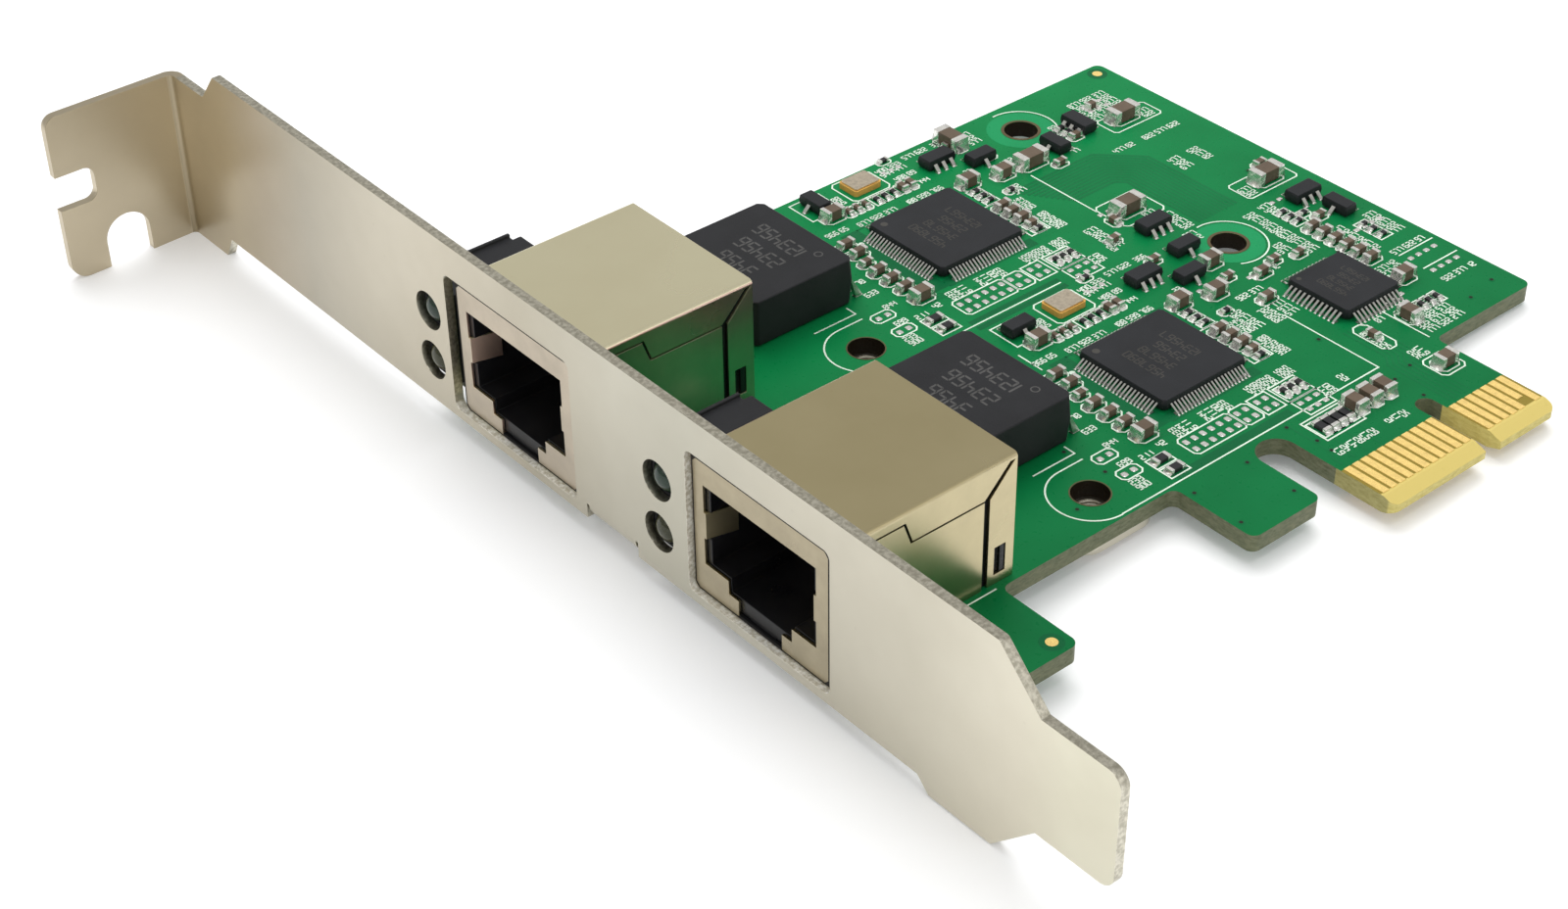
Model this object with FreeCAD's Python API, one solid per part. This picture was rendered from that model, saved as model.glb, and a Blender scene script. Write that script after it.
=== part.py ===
"""Two-port network card with a full-height bracket, millimetres, component side up (+Z).

X runs along the board away from the bracket, Y runs up the card from the edge connector.
The origin is the centre of the edge connector's key notch, at the tip of the contacts,
on the board's component side. Each sub-part goes to parts/NODE.step.
"""
import FreeCAD, Part
import math
import os
from FreeCAD import Vector

# ---- board ----
BOARD_THICK = 1.57
BOARD_LEFT = -56.85
BOARD_FAR = 21.1
TOP_MARGIN = 4.45            # board's top edge above the uppermost hole
BOARD_LOW = 12.55            # lower edge between and beyond the tabs
TAB_LOW = 4.2                # lower edge of the two board tabs
TAB_1_RIGHT = -42.5
TAB_2_LEFT = -23.75
TAB_2_RIGHT = -15.9
CORNER_R = 0.8
BEVEL_RUN = 1.2              # chamfer of the contact edge, along Y
BEVEL_DEPTH = 0.42           # and into the thickness

# ---- edge connector, PCI Express x1 ----
CONTACT_PITCH = 1.0
CONTACT_WIDTH = 0.7
CONTACT_THICK = 0.05
CONTACT_END = 5.5
CONTACT_START = 1.45
CONTACT_SHORT_START = 2.5    # the presence contact is shorter
CONTACTS_LEFT = 11
CONTACTS_RIGHT = 7
KEY_WIDTH = 1.9
KEY_DEPTH = 7.8
KEY_TO_CONTACT = 1.5         # key centre to the nearest contact's centre
EDGE_MARGIN = 0.65           # last contact's centre to the side of the connector section
SLOT_DEPTH = 12.25

# ---- holes through the board ----
HOLE_R = 1.6
HOLE_NEAR_X = -29.15
HOLE_FAR_X = 6.25
HOLE_NEAR_Y = 16.4
HOLE_FAR_Y = 34.3
PORT_PITCH = 30.5            # between the two sockets
CIRCUIT_PITCH = 26.55        # between the two like halves of the circuit
BOARD_TOP = HOLE_FAR_Y + CIRCUIT_PITCH + TOP_MARGIN

# ---- bracket, full height ----
SHEET = 0.86
BRACKET_TO_KEY = 59.05       # outer face to the key's centre
BRACKET_HIGH = 14.77         # edge on the component side
BRACKET_WIDTH = 18.42
TONGUE_END = -15.3
TONGUE_WIDTH = 10.19
TONGUE_OFFSET = 4.12         # from either edge of the bracket
TONGUE_LENGTH = 7.27
TONGUE_R = 1.3
SEAT_HEIGHT = 119.16         # tongue's end to the underside of the screw tab
TAB_REACH = 12.7
NECK_TRIM = 2.92             # neck's edge below the component-side edge
NECK_WIDTH = 16.8
NECK_START = 95.9
NECK_SLOPE = 2.4
SHOULDER_END = 2.4
BEND_R = 0.5
SCREW_NOTCH_WIDTH = 4.42
SCREW_NOTCH_X = 6.7          # from the outer face
SCREW_NOTCH_DEPTH = 4.85
END_NOTCH_WIDTH = 3.45
END_NOTCH_DEPTH = 3.75
END_NOTCH_CENTRE = 7.7       # below the component-side edge of the neck
FLANGE_STEM_GAP = 0.85       # stem above the lower lamp block
FLANGE_STEM_FAR_GAP = 1.7    # and below the upper socket's side
FLANGE_BAR_WIDTH = 8.6
FLANGE_BAR_MARGIN = 3.7      # bar's end beyond each fixing hole
FLANGE_TAP_R = 1.25          # tapping size for M3
RELIEF_WIDTH = 0.3           # slits beside the stem's bend
RELIEF_HEIGHT = 1.4

# ---- sockets ----
SHIELD_SHEET = 0.25
SHIELD_R = 0.4               # folded corners
SKIRT_GAP = 0.2              # skirt to the board's edge
JACK_WIDTH = 15.9
JACK_HEIGHT = 11.45
JACK_DEPTH = 17.85
JACK_RECESS = 0.5            # the face lies behind the bracket's outer side
JACK_SKIRT = 1.35            # the face reaches below the board's top
JACK_2_Y = 21.15
CUTOUT_GAP = 0.2
CUTOUT_DRIFT = 0.3           # cut-outs sit further apart than the sockets
CUTOUT_SLACK = 0.45          # extra width on the far side of the upper cut-out
CUTOUT_R = 0.7
PLUG_WIDTH = 12.8            # opening in the shield's face
PLUG_SHIFT = 0.3             # opening's centre beyond the socket's, towards the lamps
PLUG_LOW = 1.45
PLUG_HIGH = 8.85
PLUG_DEPTH = 11.45
LATCH_WIDTH = 7.3
LATCH_LOW = 0.2
LATCH_TIP_WIDTH = 5.0        # open down through the skirt
CAVITY_LEDGE = 0.5           # the insert's opening is narrower on either side
CAVITY_FLOOR = 0.1           # and higher at the floor
SPRING_LOW = 3.9             # earthing springs at the sides of the opening
SPRING_WIDTH = 2.4
SPRING_LENGTH = 2.6
SPRING_BULGE = 0.9
HOUSING_GAP = 0.05
POST_R = 1.58
POST_GAP = 0.05
POST_SPREAD = 11.43
POST_X = 8.15                # behind the face
POST_TIP = 0.8               # below the board
WIRE_WIDTH = 0.46
WIRE_THICK = 0.3
WIRE_PITCH = 1.02
WIRE_COUNT = 8
WIRE_FRONT = 2.6             # turn of the springs behind the face
WIRE_TIP_GAP = 1.2
WIRE_DROP = 2.6
WIRE_GAP = 0.05
SEAM = 0.16                  # width of the folded flap's seam in the sides
SEAM_START = 0.45            # behind the face
SEAM_STEP = 6.85             # where it steps down
SEAM_RAMP = 0.7
SEAM_HIGH = 1.0              # below the shield's top
SEAM_LOW = 2.95
REAR_STRIP = 3.2             # side strip folded round from the shield's back
REAR_GAP = 0.55
CATCH_LENGTH = 1.15          # catch window in the strip
CATCH_BACK = 0.85            # its far edge before the shield's back
CATCH_LOW = 0.9
CATCH_HIGH = 3.5

PIN_PITCH = 1.27
PIN_ROW_X = 10.65            # first pin row behind the face
PIN_ROW_SPREAD = 2.54
LEG_X = 12.25                # shield legs behind the face
PIN_TAIL = 1.25              # pin's tip below the board
SOLDER_HEIGHT = 0.5

# ---- lamp blocks beside the sockets ----
LAMP_GAP = 3.75              # socket's side to the lamps' axis
LAMP_R = 1.5
LAMP_HOLE_R = 1.75
LAMP_LOW_Z = 1.75
LAMP_PITCH = 4.9
LAMP_SEAT = 3.0              # depth of a lamp in its holder
LAMP_RECESS = 0.1            # its end behind the bracket's outer side
LAMP_BLOCK_WIDTH = 4.6
LAMP_BLOCK_HEIGHT = 8.75
LAMP_BLOCK_DEPTH = 9.7
BLOCK_GAP = 0.05

# ---- magnetics ----
COIL_X0 = -36.5
COIL_X1 = -25.2
COIL_WIDTH = 12.7
COIL_HEIGHT = 4.55
COIL_STAND = 0.15
COIL_LOW_Y = 28.6            # centre of the lower one
COIL_LEAD_COUNT = 12
COIL_LEAD_PITCH = 1.0

# ---- flat packs ----
CHIP_SIZE = 10.0
CHIP_THICK = 1.0
CHIP_STAND = 0.1
CHIP_LEAD_REACH = 0.9
CHIP_X = -12.1
CHIP_LOW_Y = 25.0
CHIP_LEAD_COUNT = 22
CHIP_LEAD_PITCH = 0.4
BRIDGE_SIZE = 7.0
BRIDGE_X = 7.85
BRIDGE_Y = 22.5
BRIDGE_LEAD_COUNT = 12
BRIDGE_LEAD_PITCH = 0.5

# ---- crystals ----
CRYSTAL_ABOVE = 5.7          # beyond the controller's upper lead tips
CRYSTAL_LENGTH = 3.2
CRYSTAL_WIDTH = 2.5
CRYSTAL_BASE = 0.55
CRYSTAL_LID = 0.2
CRYSTAL_RIM = 0.15

# ---- small parts: length, width and, where there are no leads, height ----
CAP_SMALL = (1.0, 0.5, 0.5)
CAP_MEDIUM = (1.6, 0.8, 0.8)
CAP_LARGE = (2.0, 1.25, 1.1)
CAP_WIDE = (3.2, 1.6, 1.3)
RES_SMALL = (1.0, 0.5, 0.35)
RES_MEDIUM = (1.6, 0.8, 0.45)
TRANSISTOR_SIZE = (2.9, 1.5)
TRANSISTOR_LEAD_COUNT = (2, 1)
REGULATOR_SIZE = (3.3, 1.7)
REGULATOR_LEAD_COUNT = (3, 3)
PACKAGE_STAND = 0.1
PACKAGE_TOP = 1.1
PACKAGE_LEAD_PITCH = 0.95    # a pair of leads takes the outer two of three places
END_SHARE = 0.22             # metal end as a share of the length
END_LIP = 0.04               # the ends stand out round the body

# ---- worked-out places ----
FACE = -BRACKET_TO_KEY
BACK = FACE + SHEET
BRACKET_LOW = BRACKET_HIGH - BRACKET_WIDTH
FLANGE_TOP = -BOARD_THICK
FLANGE_LOW = FLANGE_TOP - SHEET
SEAT_Y = TONGUE_END + SEAT_HEIGHT
NECK_HIGH = BRACKET_HIGH - NECK_TRIM
NECK_LOW = NECK_HIGH - NECK_WIDTH
JACK_FACE = FACE + JACK_RECESS
JACK_BACK = JACK_FACE + JACK_DEPTH
JACK_YS = (JACK_2_Y + PORT_PITCH, JACK_2_Y)
LAMP_OFFSET = JACK_WIDTH / 2 + LAMP_GAP
FLANGE_STEM_LOW = JACK_YS[1] + LAMP_OFFSET + LAMP_BLOCK_WIDTH / 2 + FLANGE_STEM_GAP
FLANGE_STEM_HIGH = JACK_YS[0] - JACK_WIDTH / 2 - FLANGE_STEM_FAR_GAP
SECTION_LEFT = -(KEY_TO_CONTACT + (CONTACTS_LEFT - 1) * CONTACT_PITCH + EDGE_MARGIN)
SECTION_RIGHT = KEY_TO_CONTACT + (CONTACTS_RIGHT - 1) * CONTACT_PITCH + EDGE_MARGIN
FAR_HOLES = ((HOLE_FAR_X, HOLE_FAR_Y + CIRCUIT_PITCH), (HOLE_FAR_X, HOLE_FAR_Y))
NEAR_HOLES = ((HOLE_NEAR_X, HOLE_NEAR_Y + CIRCUIT_PITCH), (HOLE_NEAR_X, HOLE_NEAR_Y))
BIG = 40.0


def block(x0, x1, y0, y1, z0, z1):
    """A box between two corners."""
    return Part.makeBox(x1 - x0, y1 - y0, z1 - z0, Vector(x0, y0, z0))


def in_xy(level=0.0):
    """Maps outline points onto a plane of constant Z."""
    return lambda u, v: Vector(u, v, level)


def in_yz(level=0.0):
    """Maps outline points onto a plane of constant X."""
    return lambda u, v: Vector(level, u, v)


def in_xz(level=0.0):
    """Maps outline points onto a plane of constant Y."""
    return lambda u, v: Vector(u, level, v)


def outline(corners, place):
    """Closed face through (u, v, radius) corners, each rounded by its own radius."""
    count = len(corners)
    stretches = []
    for i, (u, v, radius) in enumerate(corners):
        here = Vector(u, v, 0)
        before = Vector(*corners[i - 1][:2], 0) - here
        after = Vector(*corners[(i + 1) % count][:2], 0) - here
        before.normalize()
        after.normalize()
        half = before.getAngle(after) / 2
        if radius <= 0 or abs(half - math.pi / 2) < 1e-6:
            stretches.append((here, None, here))
            continue
        reach = radius / math.tan(half)
        middle = before + after
        middle.normalize()
        crown = here + middle * (radius / math.sin(half) - radius)
        stretches.append((here + before * reach, crown, here + after * reach))
    edges = []
    for i, (start, crown, end) in enumerate(stretches):
        if crown is not None:
            arc = Part.Arc(*[place(p.x, p.y) for p in (start, crown, end)])
            edges.append(arc.toShape())
        following = stretches[(i + 1) % count][0]
        if (following - end).Length > 1e-6:
            edges.append(Part.makeLine(place(end.x, end.y), place(following.x, following.y)))
    return Part.Face(Part.Wire(edges))


def prism(corners, place, along):
    """The outline's face pushed along a vector."""
    return outline(corners, place).extrude(along)


def rectangle(u0, u1, v0, v1, radius=0.0):
    """Corners of a rectangle with equal corner radii."""
    return [(u0, v0, radius), (u1, v0, radius), (u1, v1, radius), (u0, v1, radius)]


def rod(x, y, z, radius, length, axis):
    """A cylinder from a point along an axis."""
    return Part.makeCylinder(radius, length, Vector(x, y, z), axis)


def save(name, pieces):
    """Writes one node: a single solid, or a group of separate ones."""
    solids = pieces if isinstance(pieces, list) else [pieces]
    for solid in solids:
        if not solid.isValid() or len(solid.Solids) != 1:
            raise ValueError(name + " has a piece that is not one sound solid")
    shape = solids[0] if len(solids) == 1 else Part.makeCompound(solids)
    shape.exportStep("parts/" + name + ".step")


# ---------------------------------------------------------------- circuit board
def circuit_board():
    """The board with its tabs, connector section, key notch and holes."""
    slot_r = (SECTION_LEFT - TAB_2_RIGHT) / 2
    key_r = KEY_WIDTH / 2
    corners = [
        (BOARD_LEFT, TAB_LOW, CORNER_R), (TAB_1_RIGHT, TAB_LOW, CORNER_R),
        (TAB_1_RIGHT, BOARD_LOW, CORNER_R), (TAB_2_LEFT, BOARD_LOW, CORNER_R),
        (TAB_2_LEFT, TAB_LOW, CORNER_R), (TAB_2_RIGHT, TAB_LOW, CORNER_R),
        (TAB_2_RIGHT, SLOT_DEPTH, slot_r), (SECTION_LEFT, SLOT_DEPTH, slot_r),
        (SECTION_LEFT, 0, CORNER_R), (-key_r, 0, 0), (-key_r, KEY_DEPTH, key_r),
        (key_r, KEY_DEPTH, key_r), (key_r, 0, 0), (SECTION_RIGHT, 0, CORNER_R),
        (SECTION_RIGHT, BOARD_LOW, CORNER_R), (BOARD_FAR, BOARD_LOW, CORNER_R),
        (BOARD_FAR, BOARD_TOP, CORNER_R), (BOARD_LEFT, BOARD_TOP, CORNER_R)]
    board = prism(corners, in_xy(-BOARD_THICK), Vector(0, 0, BOARD_THICK))
    width = SECTION_RIGHT - SECTION_LEFT + 2
    for surface, inward in ((0.0, -1), (-BOARD_THICK, 1)):
        wedge = [(-1, surface - inward * BEVEL_DEPTH, 0), (BEVEL_RUN, surface, 0),
                 (0, surface + inward * BEVEL_DEPTH, 0), (-1, surface + inward * BEVEL_DEPTH, 0)]
        board = board.cut(prism(wedge, in_yz(SECTION_LEFT - 1), Vector(width, 0, 0)))
    for x, y in FAR_HOLES + NEAR_HOLES:
        board = board.cut(rod(x, y, -BOARD_THICK - 1, HOLE_R, BOARD_THICK + 2, Vector(0, 0, 1)))
    for jack_y in JACK_YS:
        for side in (-0.5, 0.5):
            y = jack_y + side * POST_SPREAD
            board = board.cut(rod(JACK_FACE + POST_X, y, -BOARD_THICK - 1, POST_R + POST_GAP,
                                  BOARD_THICK + 2, Vector(0, 0, 1)))
    return board


def edge_contacts(level, short_one):
    """One row of plated contacts on either side of the key notch."""
    centres = [-KEY_TO_CONTACT - k * CONTACT_PITCH for k in range(CONTACTS_LEFT)]
    centres += [KEY_TO_CONTACT + k * CONTACT_PITCH for k in range(CONTACTS_RIGHT)]
    half = CONTACT_WIDTH / 2
    pads = []
    for number, x in enumerate(sorted(centres)):
        low = CONTACT_SHORT_START if number == short_one else CONTACT_START
        pads.append(block(x - half, x + half, low, CONTACT_END, level, level + CONTACT_THICK))
    return pads


# ---------------------------------------------------------------- bracket
def cutout_span(number):
    """Lower and upper Y of a socket's cut-out in the bracket."""
    y = JACK_YS[number]
    low = y - JACK_WIDTH / 2 - CUTOUT_GAP
    high = y + JACK_WIDTH / 2 + CUTOUT_GAP
    if number == 0:
        low += CUTOUT_DRIFT / 2
        high += CUTOUT_DRIFT + CUTOUT_SLACK
    return low, high


def bracket_face():
    """Outline of the flat face with tongue, shoulders and neck."""
    tongue_low = BRACKET_LOW + TONGUE_OFFSET
    tongue_high = tongue_low + TONGUE_WIDTH
    root = TONGUE_END + TONGUE_LENGTH
    shoulder = root + TONGUE_OFFSET
    step = FLANGE_LOW - BRACKET_LOW
    beyond = SEAT_Y + 2 * SHEET
    neck = NECK_START + NECK_SLOPE
    corners = [
        (TONGUE_END, tongue_low, TONGUE_R), (root, tongue_low, 0), (shoulder, BRACKET_LOW, 0.5),
        (SHOULDER_END, BRACKET_LOW, 0), (SHOULDER_END + step, FLANGE_LOW, 0),
        (NECK_START + 1, FLANGE_LOW, 0), (neck, NECK_LOW, 0), (beyond, NECK_LOW, 0),
        (beyond, NECK_HIGH, 0), (neck, NECK_HIGH, 0.6), (NECK_START, BRACKET_HIGH, 0),
        (shoulder, BRACKET_HIGH, 0.5), (root, tongue_high, 0), (TONGUE_END, tongue_high, TONGUE_R)]
    depth = TAB_REACH + SHEET + 2
    return prism(corners, in_yz(FACE - TAB_REACH - 1), Vector(depth, 0, 0))


def bracket_flange():
    """The flange bent in under the board, with its bar and two tapped holes."""
    bar_x0 = HOLE_NEAR_X - FLANGE_BAR_WIDTH / 2
    bar_x1 = bar_x0 + FLANGE_BAR_WIDTH
    elbow = FLANGE_LOW + RELIEF_HEIGHT + 1
    profile = [
        (FACE, elbow, 0), (FACE, FLANGE_LOW, BEND_R + SHEET), (bar_x0 + 1, FLANGE_LOW, 0),
        (bar_x0 + 1, FLANGE_TOP, 0), (BACK, FLANGE_TOP, BEND_R), (BACK, elbow, 0)]
    stem_width = FLANGE_STEM_HIGH - FLANGE_STEM_LOW
    stem = prism(profile, in_xz(FLANGE_STEM_LOW), Vector(0, stem_width, 0))
    low = HOLE_NEAR_Y - FLANGE_BAR_MARGIN
    high = HOLE_NEAR_Y + CIRCUIT_PITCH + FLANGE_BAR_MARGIN
    bar = prism(rectangle(bar_x0, bar_x1, low, high, 2.0), in_xy(FLANGE_LOW), Vector(0, 0, SHEET))
    flange = stem.fuse(bar)
    for x, y in NEAR_HOLES:
        flange = flange.cut(rod(x, y, FLANGE_LOW - 1, FLANGE_TAP_R, SHEET + 2, Vector(0, 0, 1)))
    return flange


def bracket():
    """One folded sheet: face, tongue, screw tab and the flange under the board."""
    tab_end = FACE - TAB_REACH
    strip = [
        (FACE, TONGUE_END - 1, 0), (FACE, SEAT_Y, BEND_R), (tab_end, SEAT_Y, 0),
        (tab_end, SEAT_Y + SHEET, 0), (BACK, SEAT_Y + SHEET, BEND_R + SHEET),
        (BACK, TONGUE_END - 1, 0)]
    sheet = prism(strip, in_xy(NECK_LOW - 1), Vector(0, 0, BRACKET_HIGH - NECK_LOW + 2))
    sheet = sheet.common(bracket_face())
    root = FACE - 2 * SHEET
    tab = [
        (tab_end, NECK_LOW, 1.7), (root, NECK_LOW, 0), (root, -BIG, 0), (BACK + 1, -BIG, 0),
        (BACK + 1, BIG, 0), (root, BIG, 0), (root, NECK_HIGH, 0), (tab_end, NECK_HIGH, 1.2)]
    sheet = sheet.common(prism(tab, in_xz(TONGUE_END - 1), Vector(0, SEAT_HEIGHT + 5, 0)))
    notch_x = FACE - SCREW_NOTCH_X
    half = SCREW_NOTCH_WIDTH / 2
    screw_notch = [
        (notch_x - half, NECK_LOW - 1, 0), (notch_x + half, NECK_LOW - 1, 0),
        (notch_x + half, NECK_LOW + SCREW_NOTCH_DEPTH, half),
        (notch_x - half, NECK_LOW + SCREW_NOTCH_DEPTH, half)]
    middle = NECK_HIGH - END_NOTCH_CENTRE
    half = END_NOTCH_WIDTH / 2
    end_notch = [
        (tab_end - 1, middle - half, 0), (tab_end + END_NOTCH_DEPTH, middle - half, 1.0),
        (tab_end + END_NOTCH_DEPTH, middle + half, 1.0), (tab_end - 1, middle + half, 0)]
    for notch in (screw_notch, end_notch):
        sheet = sheet.cut(prism(notch, in_xz(SEAT_Y - 1), Vector(0, SHEET + 2, 0)))
    for number, jack_y in enumerate(JACK_YS):
        low, high = cutout_span(number)
        window = rectangle(low, high, -JACK_SKIRT - CUTOUT_GAP, JACK_HEIGHT + CUTOUT_GAP, CUTOUT_R)
        sheet = sheet.cut(prism(window, in_yz(FACE - 1), Vector(SHEET + 2, 0, 0)))
        for level in (LAMP_LOW_Z, LAMP_LOW_Z + LAMP_PITCH):
            hole = rod(FACE - 1, jack_y + LAMP_OFFSET, level, LAMP_HOLE_R, SHEET + 2, Vector(1, 0, 0))
            sheet = sheet.cut(hole)
    relief = block(FACE - 1, BACK + 1, FLANGE_STEM_LOW - RELIEF_WIDTH, FLANGE_STEM_HIGH + RELIEF_WIDTH,
                   FLANGE_LOW - 1, FLANGE_LOW + RELIEF_HEIGHT)
    return sheet.cut(relief).fuse(bracket_flange()).removeSplitter()


# ---------------------------------------------------------------- sockets
def jack_form(y, inset, radius):
    """The socket's form set in all round: the body on the board and the skirt before it."""
    half = JACK_WIDTH / 2 - inset
    top = JACK_HEIGHT - inset
    low = inset - JACK_SKIRT
    body = [(y - half, 0, 0), (y + half, 0, 0), (y + half, top, radius), (y - half, top, radius)]
    skirt = [(y - half, low, radius), (y + half, low, radius), (y + half, top / 2, 0),
             (y - half, top / 2, 0)]
    front = JACK_FACE + inset
    form = prism(body, in_yz(front), Vector(JACK_DEPTH - 2 * inset, 0, 0))
    depth = BOARD_LEFT - SKIRT_GAP - inset - front
    return form.fuse(prism(skirt, in_yz(front), Vector(depth, 0, 0)))


def plug_profile(y, grow):
    """Stepped opening for the plug and its latch, seen from the front."""
    middle = y + PLUG_SHIFT
    halves = (PLUG_WIDTH / 2 + grow, LATCH_WIDTH / 2 + grow, LATCH_TIP_WIDTH / 2 + grow)
    below = -JACK_SKIRT - SHIELD_SHEET
    right = [
        (middle + halves[0], PLUG_LOW - grow, 0), (middle + halves[1], PLUG_LOW - grow, 0),
        (middle + halves[1], LATCH_LOW - grow, 0), (middle + halves[2], LATCH_LOW - grow, 0),
        (middle + halves[2], below, 0)]
    left = [(2 * middle - u, v, 0) for u, v, _ in reversed(right)]
    top = [(middle - halves[0], PLUG_HIGH + grow, 0), (middle + halves[0], PLUG_HIGH + grow, 0)]
    return top + right + left


def shield_spring(y, side):
    """Earthing spring that leads in from one side of the opening."""
    t = SHIELD_SHEET
    half = PLUG_WIDTH / 2
    end = JACK_FACE + SPRING_LENGTH
    corners = [
        (JACK_FACE, half + t, 0), (JACK_FACE, half - t, 0), (end, half - SPRING_BULGE, 0),
        (end, half - SPRING_BULGE + t, 0), (JACK_FACE + t, half, 0), (JACK_FACE + t, half + t, 0)]
    turned = [(u, y + PLUG_SHIFT + side * v, r) for u, v, r in corners]
    return prism(turned, in_xy(SPRING_LOW), Vector(0, 0, SPRING_WIDTH))


def shield_side_cuts(y, side):
    """Flap seam, rear gap and catch window in one side of the shield."""
    t = SHIELD_SHEET
    cut_y = y + side * (JACK_WIDTH / 2 - t / 2) - t
    rear = JACK_BACK - REAR_STRIP
    high = JACK_HEIGHT - SEAM_HIGH
    low = JACK_HEIGHT - SEAM_LOW
    start, step = JACK_FACE + SEAM_START, JACK_FACE + SEAM_STEP
    seam = [
        (start, high, 0), (step, high, 0), (step + SEAM_RAMP, low, 0), (rear, low, 0),
        (rear, low - SEAM, 0), (step + SEAM_RAMP - SEAM, low - SEAM, 0),
        (step - SEAM, high - SEAM, 0), (start, high - SEAM, 0)]
    top = JACK_HEIGHT - 2 * t
    slope = top - low
    gap = [
        (rear, -1, 0), (rear + REAR_GAP, -1, 0), (rear + REAR_GAP, low - SEAM, 0),
        (rear + REAR_GAP + slope, top, 0), (rear + slope, top, 0), (rear, low, 0)]
    far = JACK_BACK - CATCH_BACK
    window = rectangle(far - CATCH_LENGTH, far, CATCH_LOW, CATCH_HIGH)
    return [prism(cut, in_xz(cut_y), Vector(0, 2 * t, 0)) for cut in (seam, gap, window)]


def jack_shield(y):
    """Folded shield: face, top, sides and back, open below, with its seams and springs."""
    t = SHIELD_SHEET
    half = JACK_WIDTH / 2
    shell = jack_form(y, 0.0, SHIELD_R)
    inside = rectangle(y - half + t, y + half - t, -JACK_SKIRT + t, JACK_HEIGHT - t)
    shell = shell.cut(prism(inside, in_yz(JACK_FACE + t), Vector(JACK_DEPTH - 2 * t, 0, 0)))
    shell = shell.cut(prism(plug_profile(y, 0.0), in_yz(JACK_FACE - 1), Vector(t + 2, 0, 0)))
    for side in (-1, 1):
        for cut in shield_side_cuts(y, side):
            shell = shell.cut(cut)
        shell = shell.fuse(shield_spring(y, side))
    return shell.removeSplitter()


def jack_housing(y):
    """Moulded insert with the plug cavity, latch channel, locating posts and wire slots."""
    t = SHIELD_SHEET + HOUSING_GAP
    half = JACK_WIDTH / 2 - t
    skirt_back = BOARD_LEFT - SKIRT_GAP - t
    front = JACK_FACE + t
    middle = y + PLUG_SHIFT
    body = jack_form(y, t, 0.0)
    face_opening = prism(plug_profile(y, HOUSING_GAP), in_yz(front - 1),
                         Vector(skirt_back - front, 0, 0))
    body = body.cut(face_opening)
    depth = Vector(PLUG_DEPTH - t + 1, 0, 0)
    cavity = rectangle(middle - PLUG_WIDTH / 2 + CAVITY_LEDGE, middle + PLUG_WIDTH / 2 - CAVITY_LEDGE,
                       PLUG_LOW + CAVITY_FLOOR, PLUG_HIGH)
    channel = rectangle(middle - LATCH_WIDTH / 2, middle + LATCH_WIDTH / 2,
                        LATCH_LOW + CAVITY_FLOOR, PLUG_LOW + 1)
    for hollow in (cavity, channel):
        body = body.cut(prism(hollow, in_yz(front - 1), depth))
    reach = WIRE_WIDTH / 2 + WIRE_GAP
    for wire_y in wire_places(y):
        body = body.cut(block(JACK_FACE + WIRE_FRONT - WIRE_GAP, JACK_FACE + PLUG_DEPTH, wire_y - reach,
                              wire_y + reach, PLUG_HIGH - 1, PLUG_HIGH + WIRE_THICK))
    for side in (-1, 1):
        inner = PLUG_WIDTH / 2 - SPRING_BULGE - HOUSING_GAP
        low, high = sorted((middle + side * inner, middle + side * (PLUG_WIDTH / 2 + HOUSING_GAP)))
        body = body.cut(block(front - 1, JACK_FACE + SPRING_LENGTH + HOUSING_GAP, low, high,
                              SPRING_LOW - HOUSING_GAP, SPRING_LOW + SPRING_WIDTH + HOUSING_GAP))
        catch_y0, catch_y1 = sorted((y + side * half, y + side * (half + SHIELD_SHEET)))
        far = JACK_BACK - CATCH_BACK
        body = body.fuse(block(far - CATCH_LENGTH / 2, far - HOUSING_GAP, catch_y0, catch_y1,
                               CATCH_LOW + HOUSING_GAP, CATCH_HIGH - HOUSING_GAP))
        body = body.fuse(rod(JACK_FACE + POST_X, y + side * POST_SPREAD / 2, HOUSING_GAP, POST_R,
                             BOARD_THICK + POST_TIP + HOUSING_GAP, Vector(0, 0, -1)))
    return body.removeSplitter()


def wire_places(y):
    """Y of each contact spring of a socket."""
    middle = y + PLUG_SHIFT
    return [middle + (k - (WIRE_COUNT - 1) / 2) * WIRE_PITCH for k in range(WIRE_COUNT)]


def jack_wires(y):
    """Eight flat springs that lie in the roof's grooves, turn back and slope down."""
    front = JACK_FACE + WIRE_FRONT
    back = JACK_FACE + PLUG_DEPTH
    tip = back - WIRE_TIP_GAP
    top = PLUG_HIGH + WIRE_THICK
    hairpin = [
        (back, top, 0), (front, top, 0), (tip, PLUG_HIGH - WIRE_DROP, 0),
        (tip + 0.1, PLUG_HIGH - WIRE_DROP + WIRE_THICK, 0), (front + 1.4, PLUG_HIGH, 0),
        (back, PLUG_HIGH, 0)]
    return [prism(hairpin, in_xz(wire_y - WIRE_WIDTH / 2), Vector(0, WIRE_WIDTH, 0))
            for wire_y in wire_places(y)]


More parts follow.
